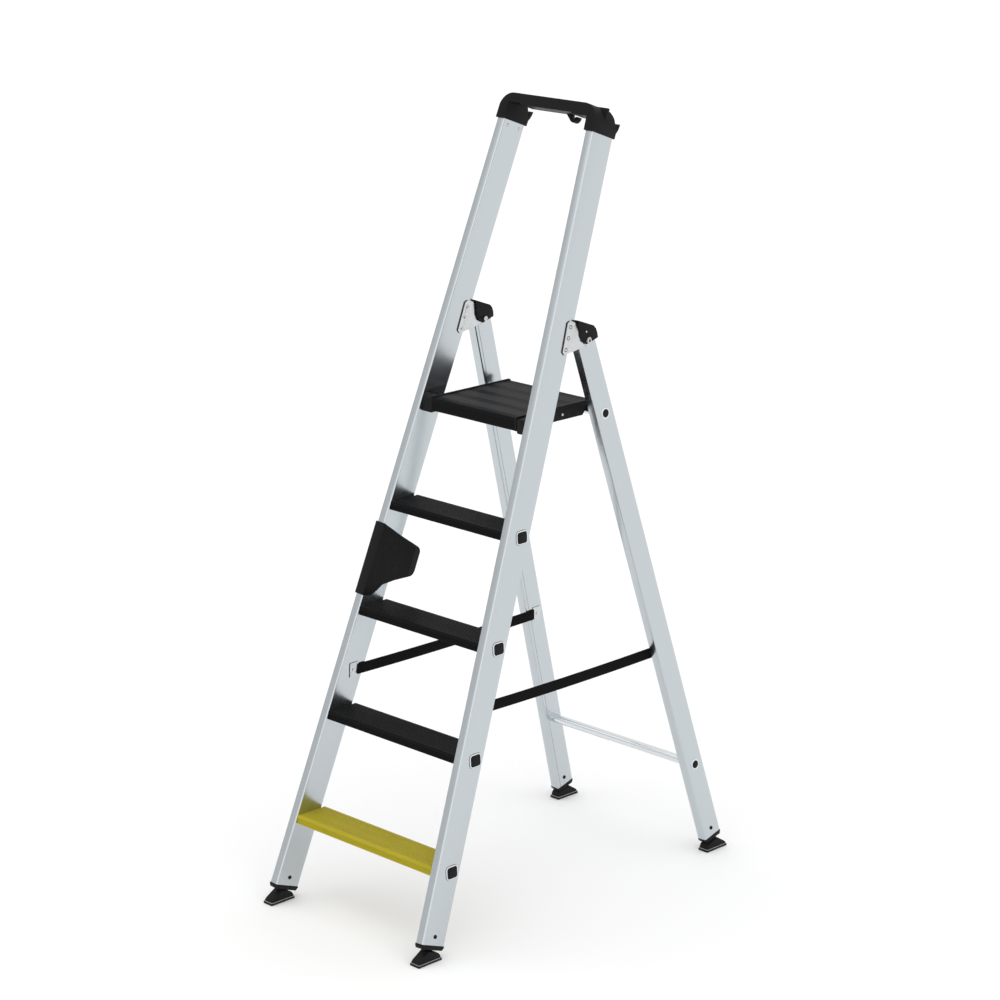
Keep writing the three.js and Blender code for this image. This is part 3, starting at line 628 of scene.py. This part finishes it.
def strap_weave():
    """Polyester webbing: a herringbone of yarns 1.5 mm apart."""
    base = colours().webbing
    finish = Finish("strap_weave", base, 0.85, specular=0.1)
    _, y, z = finish.parts(finish.place())
    yarn = 2 * math.pi / 0.0030
    warp = (y * yarn + (z * yarn * 0.9).sine() * 1.2).sine()
    weft = (z * yarn * 0.9).sine()
    weave = warp * weft * 0.5 + 0.5
    finish.colour_between(weave, shade(base, 0.5), shade(base, 2.2))
    finish.roughness(weave * 0.15 + 0.75)
    finish.bump(weave, 0.6, 0.0004)
    return finish.material


def pale_line():
    base = (0.35, 0.35, 0.35)
    finish = Finish("shoe_insert", base, 0.5, specular=0.3)
    speck = finish.noise(finish.place(), 300.0)
    finish.colour_between(speck, shade(base, 0.8), shade(base, 1.15))
    finish.roughness(speck * 0.2 + 0.4)
    return finish.material


def studio_floor():
    base = colours().floor
    finish = Finish("studio_floor", base, 0.9, specular=0.0)
    cloud = finish.noise(finish.place(), 0.8)
    finish.colour_between(cloud, shade(base, 0.995), base)
    return finish.material


FINISH_MAKERS = {
    "stile": lambda: extruded_aluminium("stile_aluminium", FRONT_LEAN),
    "leg": lambda: extruded_aluminium("leg_aluminium", -REAR_LEAN),
    "polished": polished_aluminium,
    "zinc": zinc_plate,
    "steel": bright_steel,
    "edge": painted_shade_edge,
    "moulded": moulded_plastic,
    "coat": lambda: powder_coat("black_powder_coat", colours().coat, 0.10),
    "warning": lambda: powder_coat("yellow_powder_coat", colours().warning, 0.25),
    "rubber": sole_rubber,
    "webbing": strap_weave,
    "insert": pale_line,
    "floor": studio_floor,
}
made_finishes = {}


def finish(key):
    if key not in made_finishes:
        made_finishes[key] = FINISH_MAKERS[key]()
    return made_finishes[key]


# ---------------------------------------------------------------- tubes of the two frames
def tube(name, matrix, outline, low, high, wall):
    """A box tube in a stile's or leg's own frame, hollow at both ends."""
    obj = extruded(name, outline, "Z", low, high)
    for direction in (Vector((0, 0, 1)), Vector((0, 0, -1))):
        socket_in(obj, direction, wall, 45)
    return settle(obj, matrix)


def along(node, matrix, pick):
    """The lowest or highest reach of a CAD node along a frame's own Z, in millimetres."""
    inverse = matrix.inverted()
    return pick((inverse @ v.co).z for v in frame["nodes"][node].data.vertices) / MM


class LADDER_OT_stiles(bpy.types.Operator):
    """Build the two stiles of the front frame"""
    bl_idname = "ladder.stiles"
    bl_label = "Stiles"

    def execute(self, context):
        size = context.scene.ladder_sizes
        section = rounded_box(size.stile_width / MM, size.stile_depth / MM, size.corner / MM)
        low, high = (along("stile_right", stile_frame, pick) for pick in (min, max))
        stile = tube("stile_tube_right", stile_frame, section, low, high, size.wall / MM)
        dress_pair(stile, finish("stile"), FRONT, "aluminium", "stile")
        return {"FINISHED"}


class LADDER_OT_legs(bpy.types.Operator):
    """Build the two legs of the rear frame, each with a groove along its inner face"""
    bl_idname = "ladder.legs"
    bl_label = "Legs"

    def execute(self, context):
        size = context.scene.ladder_sizes
        width, depth = size.leg_width / MM, size.leg_depth / MM
        section = rounded_box(width, depth, size.corner / MM - 0.5)
        inner, groove, sunk = -width / 2, size.groove / MM, 0.9
        front = -depth / 2 + 9
        # the inner face is the stretch from the second corner to the third
        turn_at = len(section) // 2
        section[turn_at:turn_at] = [
            (inner, front + groove), (inner + sunk, front + groove), (inner + sunk, front), (inner, front)]
        low, high = (along("rear_leg_right", leg_frame, pick) for pick in (min, max))
        leg = tube("leg_tube_right", leg_frame, section, low, high, size.wall / MM - sunk / 2)
        dress_pair(leg, finish("leg"), REAR, "aluminium", "rear_leg")
        return {"FINISHED"}


# ---------------------------------------------------------------- steps
def ribbed(start, stop, pitch, depth, level, rise=0.35):
    """Points of a run of grooves, as distance and height, from start to stop at a level."""
    count = int((stop - start) // pitch)
    lead = start + (stop - start - count * pitch) / 2
    points = []
    for i in range(count):
        at = lead + (i + 0.5) * pitch
        points += [(at - 0.2 * pitch, level), (at - 0.2 * pitch + rise, level - depth),
                   (at + 0.2 * pitch - rise, level - depth), (at + 0.2 * pitch, level)]
    return points


def tread_outline(size, front, rear, top):
    """Side view of a tread: ribbed on top and on its nose, with a lip below at each edge."""
    skin, nose = size.step_skin / MM, size.step_nose / MM
    pitch, depth = size.rib_pitch / MM, size.rib_depth / MM
    lip = 15
    top_side = ribbed(front + 6, rear - 5, pitch, depth, top)
    nose_side = [(front + (top - h), v) for v, h in ribbed(top - nose + 2, top - 5, pitch * 0.6, depth, top)]
    return [
        (front, top - nose), *nose_side, *arc((front + 3.5, top - 3.5), 3.5, 180, 90, 5),
        *top_side, *arc((rear - 2, top - 2), 2, 90, 0, 4), (rear, top - lip),
        (rear - skin, top - lip), (rear - skin, top - skin), (front + skin, top - skin),
        (front + skin, top - nose),
    ]


class LADDER_OT_steps(bpy.types.Operator):
    """Build the four steps with their tenons, rolled rings and plugs"""
    bl_idname = "ladder.steps"
    bl_label = "Steps"

    def execute(self, context):
        for number in range(1, STEP_COUNT + 1):
            self.step(context.scene.ladder_sizes, number)
        return {"FINISHED"}

    def step(self, size, number):
        low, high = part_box(f"step_{number}")
        front, rear, top = low.y / MM, high.y / MM, high.z / MM
        reach = high.x / MM + 30
        inner = -size.stile_width / MM / 2 - 0.3
        tread = extruded(f"tread_{number}", tread_outline(size, front, rear, top), "X", -reach, reach)
        both_ends(tread, stile_frame, inner * MM)
        coat, slot = ("warning", "yellow_coating") if number == 1 else ("coat", "black_coating")
        dress(tread, finish(coat), FRONT, slot, f"step_{number}", angle=20)

        plug_low, plug_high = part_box(f"step_plug_{number}_right")
        centre = (plug_low.y + plug_high.y) / 2 / MM, (plug_low.z + plug_high.z) / 2 / MM
        width, height, corner = (v / MM for v in (size.tenon_width, size.tenon_height, size.tenon_corner))
        tenon = extruded(f"tenon_{number}", rounded_box(width, height, corner, centre), "X", -reach, reach)
        both_ends(tenon, stile_frame, size.stile_width / 2)
        dress(tenon, finish(coat), FRONT, slot)

        ring, proud = size.ring / MM, size.proud
        face = size.stile_width / 2
        rim = extruded(f"step_{number}_ring_right", rounded_box(
            width + 2 * ring, height + 2 * ring, corner + ring, centre), "X", reach - 70, reach)
        point, normal = plane(stile_frame, face + proud)
        cut_off(rim, point, normal)
        cut_off(rim, plane(stile_frame, face - 8 * MM)[0], -normal)
        round_off(rim, 0.7, 3, 60)
        socket_in(rim, normal, ring - 0.4, 5)
        dress_pair(rim, finish("polished"), FRONT, "aluminium")

        # A thin dark rim just outside each rolled ring, in the painted-shade finish: painted shadow round the
        # ring's edge.
        painted_shadow_rim = extruded(f"step_{number}_seal_right", rounded_box(
            width + 2 * ring + 1.4, height + 2 * ring + 1.4, corner + ring + 0.7, centre),
            "X", reach - 70, reach)
        cut_off(painted_shadow_rim, plane(stile_frame, face + 0.4 * MM)[0], normal)
        cut_off(painted_shadow_rim, plane(stile_frame, face - 1.5 * MM)[0], -normal)
        dress_pair(painted_shadow_rim, finish("edge"), FRONT, "aluminium")

        plug = extruded(f"plug_{number}_right", rounded_box(
            width, height, corner, centre), "X", reach - 70, reach)
        cut_off(plug, plane(stile_frame, face + proud + 0.6 * MM)[0], normal)
        cut_off(plug, plane(stile_frame, face + proud - 4.8 * MM)[0], -normal)
        round_off(plug, 0.9, 3, 60)
        dress_pair(plug, finish("moulded"), FRONT, "black_plastic", f"step_plug_{number}")


# ---------------------------------------------------------------- cross tubes
class LADDER_OT_cross_tubes(bpy.types.Operator):
    """Build the two cross tubes of the rear frame with their rings and plugs"""
    bl_idname = "ladder.cross_tubes"
    bl_label = "Cross tubes"

    def execute(self, context):
        for place in ("platform", "lower"):
            self.cross_tube(context.scene.ladder_sizes, place)
        return {"FINISHED"}

    def cross_tube(self, size, place):
        plug_middle = middle(f"{place}_tube_plug_right")
        low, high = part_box(f"{place}_cross_tube")
        ring = size.ring / MM
        radius = (high.z - low.z) / 2 / MM - ring
        reach, centre = high.x / MM + 20, (plug_middle.y, plug_middle.z)
        face, proud = size.leg_width / 2, size.proud
        bar = rod(f"{place}_bar", radius, -reach, reach, centre, 64)
        both_ends(bar, leg_frame, face)
        dress(bar, finish("polished"), REAR, "aluminium", f"{place}_cross_tube")

        point, normal = plane(leg_frame, face + proud)
        rim = rod(f"{place}_ring_right", radius + ring, reach - 60, reach, centre)
        cut_off(rim, point, normal)
        cut_off(rim, plane(leg_frame, face - 6 * MM)[0], -normal)
        round_off(rim, 0.7, 3, 60)
        socket_in(rim, normal, 2.6, 5)
        dress_pair(rim, finish("polished"), REAR, "aluminium")

        plug = rod(f"{place}_plug_right", radius + ring - 3.4, reach - 60, reach, centre)
        cut_off(plug, plane(leg_frame, face + proud + 0.6 * MM)[0], normal)
        cut_off(plug, plane(leg_frame, face + proud - 4.8 * MM)[0], -normal)
        round_off(plug, 1.0, 3, 60)
        dress_pair(plug, finish("moulded"), REAR, "black_plastic", f"{place}_tube_plug")


# ---------------------------------------------------------------- hinges
def dome(name, radius, height, x, matrix, y, z):
    """A low domed rivet head that stands on x = x and faces away from the middle."""
    curve = [(x + height * math.sin(a), radius * math.cos(a))
             for a in (i * math.pi / 12 for i in range(6))]
    obj = turned(name, [(x - 1, 0), (x - 1, radius), *curve, (x + height, 0)], 24)
    return settle(obj, matrix @ Matrix.Translation((0, y, z)))


def point_on(matrix, node):
    """Middle of a CAD node in a frame's own axes."""
    return matrix.inverted() @ middle(node)


class LADDER_OT_hinges(bpy.types.Operator):
    """Build the joggled hinge plates with their rivets, pivot bolts and nuts"""
    bl_idname = "ladder.hinges"
    bl_label = "Hinges"

    def execute(self, context):
        size = context.scene.ladder_sizes
        for which in ("outer", "inner"):
            plate = from_cad(f"hinge_plate_{which}_right", f"plate_{which}_right", 0.7, 2, 40)
            # each plate's side faces get the dark finish of painted shade
            dress_pair(plate, finish("zinc"), FRONT, "zinced_steel", f"hinge_plate_{which}",
                       edge=finish("edge"))
        for number in (1, 2, 3):
            self.rivet(size, number)
        self.bolt()
        return {"FINISHED"}

    def rivet(self, size, number):
        at = point_on(stile_frame, f"hinge_rivet_{number}_right")
        seat = size.stile_width / 2 / MM + size.plate / MM + 0.3
        outer = dome("outer", 3.6, 1.7, seat, stile_frame, at.y, at.z)
        inner = dome("inner", 3.6, 1.7, seat, stile_frame @ Matrix.Translation((0, 0, at.z)) @ turn(
            math.pi, "Z") @ Matrix.Translation((0, 0, -at.z)), -at.y, at.z)
        dress_pair(joined(f"rivet_{number}_right", outer, inner), finish("steel"), FRONT,
                   "fastener_steel", f"hinge_rivet_{number}")
        # A thin dark disk under each rivet head, wider than the head, in the painted-shade finish: painted
        # shadow round the rivet.
        rivet_shadow = dome(f"rivet_seat_{number}_right", 4.9, 0.35, seat, stile_frame, at.y, at.z)
        dress_pair(rivet_shadow, finish("edge"), FRONT, "fastener_steel")

    def bolt(self):
        low, high = (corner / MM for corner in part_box("pivot_bolt_right"))
        radius = (high.z - low.z) / 2
        tip, end = low.x, high.x
        seat = end - 3.4
        at = Matrix.Translation((0, pivot.y, pivot.z))
        bolt = turned("bolt_right", [
            (tip, 0), (tip, 3.6), (tip + 0.5, 4), (seat, 4), (seat, radius + 0.4), (seat + 0.6, radius + 0.4),
            (seat + 0.6, radius - 0.4), (seat + 2.0, radius - 0.6), (end - 0.3, radius - 2.2),
            (end, radius - 3.2),
            (end - 0.9, radius - 3.8), (end - 0.9, 0)])
        settle(bolt, at)
        dress_pair(bolt, finish("steel"), FRONT, "fastener_steel", "pivot_bolt")
        # A dark six-sided disk sunk in the bolt's end, in the painted-shade finish: painted shade in its
        # recess.
        recess_shade = rod("bolt_recess_right", radius - 4, end - 1.2, end - 0.7, (pivot.y, pivot.z), 6)
        dress_pair(recess_shade, finish("edge"), FRONT, "fastener_steel")
        nut_low, nut_high = (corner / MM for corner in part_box("pivot_nut_right"))
        nut = rod("nut_right", 6.5, nut_low.x, nut_high.x, (pivot.y, pivot.z), 6)
        round_off(nut, 0.5, 2)
        socket_in(nut, Vector((-1, 0, 0)), 2.1, 0.8)
        dress_pair(nut, finish("steel"), FRONT, "fastener_steel", "pivot_nut")


class LADDER_OT_leg_caps(bpy.types.Operator):
    """Build the moulded caps on top of the legs"""
    bl_idname = "ladder.leg_caps"
    bl_label = "Leg caps"

    def execute(self, context):
        cap = from_cad("leg_cap_right", "hinge_cap_right", 1.0, 3, 30)
        dress_pair(cap, finish("moulded"), REAR, "black_plastic", "leg_cap")
        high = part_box("leg_cap_right")[1]
        screw = dome("cap_screw_right", 2.4, 1.0, 0, Matrix.Translation((high.x - 0.2 * MM, 0, 0)),
                     pivot.y - 0.008, pivot.z + 0.021)
        dress_pair(screw, finish("steel"), REAR, "fastener_steel")
        return {"FINISHED"}


# ---------------------------------------------------------------- top bracket
class LADDER_OT_top_bracket(bpy.types.Operator):
    """Build the handrail bracket with its hook, and the rivets that hold it"""
    bl_idname = "ladder.top_bracket"
    bl_label = "Top bracket"

    def execute(self, context):
        bracket = from_cad("top_bracket", "handrail_bracket", 1.3, 3, 30)
        dress(bracket, finish("moulded"), FRONT, "black_plastic", "top_bracket")
        face = -context.scene.ladder_sizes.stile_width / 2 / MM
        foot = along("stile_right", stile_frame, max) - 24
        for number, y in enumerate((-17.7, 20.4), 1):
            head = dome(f"bracket_rivet_{number}_right", 4.4, 1.6, -face, stile_frame @ turn(
                math.pi, "Z"), -y * MM, (foot - 11) * MM)
            dress_pair(head, finish("steel"), FRONT, "fastener_steel")
        return {"FINISHED"}


# ---------------------------------------------------------------- carry grip
class LADDER_OT_carry_grip(bpy.types.Operator):
    """Build the ribbed carry grip on the left stile"""
    bl_idname = "ladder.carry_grip"
    bl_label = "Carry grip"

    def execute(self, context):
        size = context.scene.ladder_sizes
        grip = from_cad("carry_grip", "carry_grip_pad", 1.4, 3, 30)
        dress(grip, finish("moulded"), FRONT, "black_plastic", "carry_grip")
        self.ribs(size)
        return {"FINISHED"}


    def ribs(self, size):
        """Low ribs along the stile on the grip's broad face, which looks towards the middle."""
        left_stile = Matrix.Scale(-1, 4, (1, 0, 0)) @ stile_frame
        outline = from_cad("carry_grip", "grip_outline", 0)
        heart = middle("carry_grip")
        only(outline)
        bpy.ops.transform.resize(value=(1, 0.90, 0.95), center_override=heart)
        bpy.ops.transform.translate(value=(size.grip_rib_rise, 0, 0))
        settle(outline)
        centre = left_stile.inverted() @ heart / MM
        pitch, half = size.grip_rib / MM, size.grip_rib_width / MM / 2
        half_length, half_thickness = 200, 60  # past the grip on every side
        low, high = centre.z - half_length, centre.z + half_length
        bars = []
        for i in range(-10, 11):
            y = centre.y + i * pitch
            bars.append(extruded(
                f"bar_{i}", [(y - half, low), (y + half, low), (y + half, high), (y - half, high)], "X",
                centre.x - half_thickness, centre.x + half_thickness))
        comb = settle(joined("grip_ribs", *bars), left_stile)
        tidy(comb)
        modify(comb, "BOOLEAN", operation="INTERSECT", solver="EXACT", object=outline)
        bpy.data.objects.remove(outline)
        round_off(comb, 0.25, 1, 60)
        dress(comb, finish("moulded"), FRONT, "black_plastic")


# ---------------------------------------------------------------- platform
def deck_bands():
    low, high = (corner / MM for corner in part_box("platform_deck"))
    reach = high.y - low.y
    return [(low.y + share * reach, low.y + (share + 0.13) * reach) for share in (0.09, 0.32, 0.55, 0.78)]


class LADDER_OT_platform(bpy.types.Operator):
    """Build the platform deck, its side rails and the brackets that carry it"""
    bl_idname = "ladder.platform"
    bl_label = "Platform"

    def execute(self, context):
        size = context.scene.ladder_sizes
        low, high = (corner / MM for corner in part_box("platform_deck"))
        front, rear, top, bottom = low.y, high.y, high.z, low.z
        skin = size.step_skin / MM
        bands = deck_bands()
        top_side = []
        for start, stop in bands:
            top_side += ribbed(start, stop, 4.0, 0.7, top)
        nose_side = [(front + (top - h), v) for v, h in ribbed(bottom + 4, top - 6, 4.2, 0.7, top)]
        outline = [
            (front, bottom), *nose_side, *arc((front + 4, top - 4), 4, 180, 90, 5), *top_side,
            (rear - 1, top), (rear, top - 1), (rear, top - 7), (rear - skin, top - 7),
            (rear - skin, top - skin),
        ]
        for share in (0.7, 0.46, 0.22):
            y = front + share * (rear - front)
            outline += [(y + skin, top - skin), (y + skin, top - 16), (y, top - 16), (y, top - skin)]
        outline += [(front + skin, top - skin), (front + skin, bottom)]
        deck = extruded("deck", outline, "X", low.x, high.x)
        edges = [(a * MM, b * MM) for a, b in bands]
        dress(deck, deck_coat(edges), PLATFORM, "black_plastic", "platform_deck", angle=20)
        rail = from_cad("platform_rail_right", "side_rail_right", 0.9, 3, 30)
        dress_pair(rail, finish("moulded"), PLATFORM, "black_plastic", "platform_rail")
        bracket = from_cad("platform_bracket_right", "deck_bracket_right", 1.2, 3, 30)
        dress_pair(bracket, finish("moulded"), FRONT, "black_plastic", "platform_bracket")
        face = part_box("platform_rail_right")[1].x
        rivet = dome("rail_rivet_right", 3.2, 1.4, 0, Matrix.Translation((face, 0, 0)), 0.061, 1.125)
        dress_pair(rivet, finish("steel"), PLATFORM, "fastener_steel")
        return {"FINISHED"}


# ---------------------------------------------------------------- straps
class LADDER_OT_straps(bpy.types.Operator):
    """Build the two restraint straps and their riveted clamps"""
    bl_idname = "ladder.straps"
    bl_label = "Straps"

    def execute(self, context):
        size = context.scene.ladder_sizes
        for end, body, matrix in (("front", FRONT, stile_frame), ("rear", REAR, leg_frame)):
            clamp = from_cad(f"strap_clamp_{end}_right", f"clamp_{end}_right", 0.45, 2, 40)
            # each clamp's side faces get the dark finish of painted shade
            dress_pair(clamp, finish("zinc"), body, "zinced_steel", f"strap_clamp_{end}",
                       edge=finish("edge"))
        for side in SIDES:
            self.strap(size, side)
        return {"FINISHED"}

    def strap(self, size, side):
        low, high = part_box(f"strap_{side}")
        corners = [v.co for v in frame["nodes"][f"strap_{side}"].data.vertices]
        near = [co.x for co in corners if co.y < low.y + 0.001]
        far = [co.x for co in corners if co.y > high.y - 0.001]
        slant = sum(far) / len(far) - sum(near) / len(near)
        only(None)
        bpy.ops.mesh.primitive_cube_add(size=1, location=(low + high) / 2)
        webbing = name_it(bpy.context.object, f"webbing_{side}")
        webbing.scale = (1.7 * MM, high.y - low.y + 0.008, size.strap_height)
        settle(webbing)
        steps = 40
        edit(webbing)
        for i in range(1, steps):
            y = low.y + (high.y - low.y) * i / steps
            bpy.ops.mesh.select_all(action="SELECT")
            bpy.ops.mesh.bisect(plane_co=(0, y, 0), plane_no=(0, 1, 0))
        leave()
        for i in range(1, steps):
            y = low.y + (high.y - low.y) * i / steps
            share = 4 * (i / steps) * (1 - i / steps)
            edit_where(webbing, "VERT", lambda co, normal: abs(co.y - y) < 1e-4)
            bpy.ops.transform.translate(value=(slant * (i / steps - 0.5), 0, -size.strap_sag * share))
            leave()
        for end in (-0.5, 0.5):
            tip = (low.y + high.y) / 2 + end * (high.y - low.y)
            edit_where(webbing, "VERT", lambda co, normal: (co.y - tip) * end > 1e-4)
            bpy.ops.transform.translate(value=(slant * end, 0, 0))
            leave()
        round_off(webbing, 0.3, 2, 60)
        smooth(webbing)
        webbing.data.materials.append(finish("webbing"))
        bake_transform(webbing)
        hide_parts(f"strap_{side}")


# ---------------------------------------------------------------- feet
class LADDER_OT_feet(bpy.types.Operator):
    """Build the foot plugs, their screws, and the shoes with ribbed soles"""
    bl_idname = "ladder.feet"
    bl_label = "Feet"

    def execute(self, context):
        size = context.scene.ladder_sizes
        for end, body, matrix, width in (
                ("front", FRONT, stile_frame, size.stile_width), ("rear", REAR, leg_frame, size.leg_width)):
            plug = from_cad(f"foot_plug_{end}_right", f"foot_{end}_right", 0.7, 2, 30)
            dress_pair(plug, finish("moulded"), body, "black_plastic", f"foot_plug_{end}")
            for face, name in ((0, "outer"), (math.pi, "inner")):
                button = dome(f"foot_button_{end}_{name}_right", 4.8, 3.0, width / 2 / MM,
                              matrix @ turn(face, "Z"), 0, 0.060)
                dress_pair(button, finish("moulded"), body, "black_plastic")
            self.shoe(size, end)
        return {"FINISHED"}

    def shoe(self, size, end):
        node = f"shoe_{end}_right"
        low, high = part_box(node)
        thick = size.sole
        upper = from_cad(node, f"shoe_upper_{end}_right", 0, below=thick + 1.2 * MM)
        round_off(upper, 1.1, 3, 30)
        tooth = size.tread_tooth / MM
        start, stop = low.y / MM - 1.5, high.y / MM + 1.5
        count = round((stop - start) / tooth)
        pitch = (stop - start) / count
        under = [point for i in range(count) for point in (
            (start + i * pitch, 0.3), (start + (i + 0.5) * pitch, 2.9))]
        sole = extruded("sole", [*under, (stop, 0.3), (stop, thick / MM), (start, thick / MM)],
            "X", low.x / MM - 1.5, high.x / MM + 1.5)
        name_it(sole, f"sole_{end}_right")
        insert = extruded(f"insert_{end}_right", [
            (start + 0.8, thick / MM), (stop - 0.8, thick / MM), (stop - 0.8, thick / MM + 1.2),
            (start + 0.8, thick / MM + 1.2)], "X", low.x / MM - 0.8, high.x / MM + 0.8)
        for piece, look, slot, stems in (
                (upper, "moulded", "black_rubber", [f"shoe_{end}"]), (sole, "rubber", "black_rubber", []),
                (insert, "insert", "black_rubber", [])):
            left = mirror_image(piece, piece.name.replace("_right", "_left"))
            for side, obj in zip(SIDES, (piece, left)):
                nodes = [f"{stem}_{side}" for stem in stems]
                dress(obj, finish(look), f"{end}_shoe_{side}", slot, *nodes, angle=24)


# ---------------------------------------------------------------- studio
class LADDER_OT_stage(bpy.types.Operator):
    """Set up the floor, the soft light and the camera"""
    bl_idname = "ladder.stage"
    bl_label = "Stage"

    def execute(self, context):
        only(None)
        bpy.ops.mesh.primitive_plane_add(size=80)
        floor = name_it(bpy.context.object, "studio_floor")
        floor.data.materials.append(finish("floor"))
        scene = context.scene
        scene.world = scene.world or bpy.data.worlds.new("studio")
        scene.world.use_nodes = True
        self.sky(scene.world.node_tree)
        scene.view_settings.view_transform = "Standard"
        sun = bpy.data.lights.new("soft_sun", "SUN")
        sun.energy, sun.angle = 0.9, math.radians(120)
        lamp = bpy.data.objects.new("soft_sun", sun)
        lamp.rotation_euler = (math.radians(38), 0, math.radians(25))
        scene.collection.objects.link(lamp)
        camera = bpy.data.cameras.new("camera")
        camera.lens, camera.sensor_width = 110.956, 36
        eye = bpy.data.objects.new("camera", camera)
        eye.location = (4.77246, -4.77286, 2.79481)
        eye.rotation_euler = (math.radians(90 - 15.5872), 0, math.radians(45))
        scene.collection.objects.link(eye)
        scene.camera = eye
        return {"FINISHED"}

    def sky(self, tree):
        """An even white sky that is a little darker towards the front left."""
        sky = tree.nodes["Background"]
        where = tree.nodes.new("ShaderNodeTexCoord")
        share = tree.nodes.new("ShaderNodeVectorMath")
        share.operation = "DOT_PRODUCT"
        share.inputs[1].default_value = (-0.7, -0.7, 0)
        ramp = tree.nodes.new("ShaderNodeMapRange")
        ramp.interpolation_type = "SMOOTHSTEP"
        for socket, value in (("From Min", 0.3), ("From Max", 0.9), ("To Min", 0.95), ("To Max", 0.70)):
            ramp.inputs[socket].default_value = value
        tree.links.new(where.outputs["Generated"], share.inputs[0])
        tree.links.new(share.outputs["Value"], ramp.inputs["Value"])
        tree.links.new(ramp.outputs["Result"], sky.inputs["Strength"])
        sky.inputs["Color"].default_value = (1, 1, 1, 1)


class LADDER_PT_panel(bpy.types.Panel):
    """Lists the ladder's sizes, colours and build steps"""
    bl_idname = "LADDER_PT_panel"
    bl_label = "Platform step ladder"
    bl_space_type = "VIEW_3D"
    bl_region_type = "UI"
    bl_category = "Ladder"

    def draw(self, context):
        for group in (context.scene.ladder_sizes, context.scene.ladder_colours):
            box = self.layout.box()
            for key in group.__annotations__:
                box.prop(group, key)
        for operator in OPERATORS:
            self.layout.operator(operator.bl_idname)


OPERATORS = (
    LADDER_OT_stage, LADDER_OT_stiles, LADDER_OT_legs, LADDER_OT_steps, LADDER_OT_cross_tubes,
    LADDER_OT_hinges, LADDER_OT_leg_caps, LADDER_OT_top_bracket, LADDER_OT_carry_grip,
    LADDER_OT_platform, LADDER_OT_straps, LADDER_OT_feet,
)
CLASSES = (LadderSizes, LadderColours, *OPERATORS, LADDER_PT_panel)


def register():
    for cls in CLASSES:
        bpy.utils.register_class(cls)
    bpy.types.Scene.ladder_sizes = bpy.props.PointerProperty(type=LadderSizes)
    bpy.types.Scene.ladder_colours = bpy.props.PointerProperty(type=LadderColours)


def unregister():
    del bpy.types.Scene.ladder_colours
    del bpy.types.Scene.ladder_sizes
    for cls in reversed(CLASSES):
        bpy.utils.unregister_class(cls)


def main():
    register()
    for operator in OPERATORS:
        getattr(bpy.ops.ladder, operator.bl_idname.removeprefix("ladder."))()


if __name__ == "__main__":
    main()
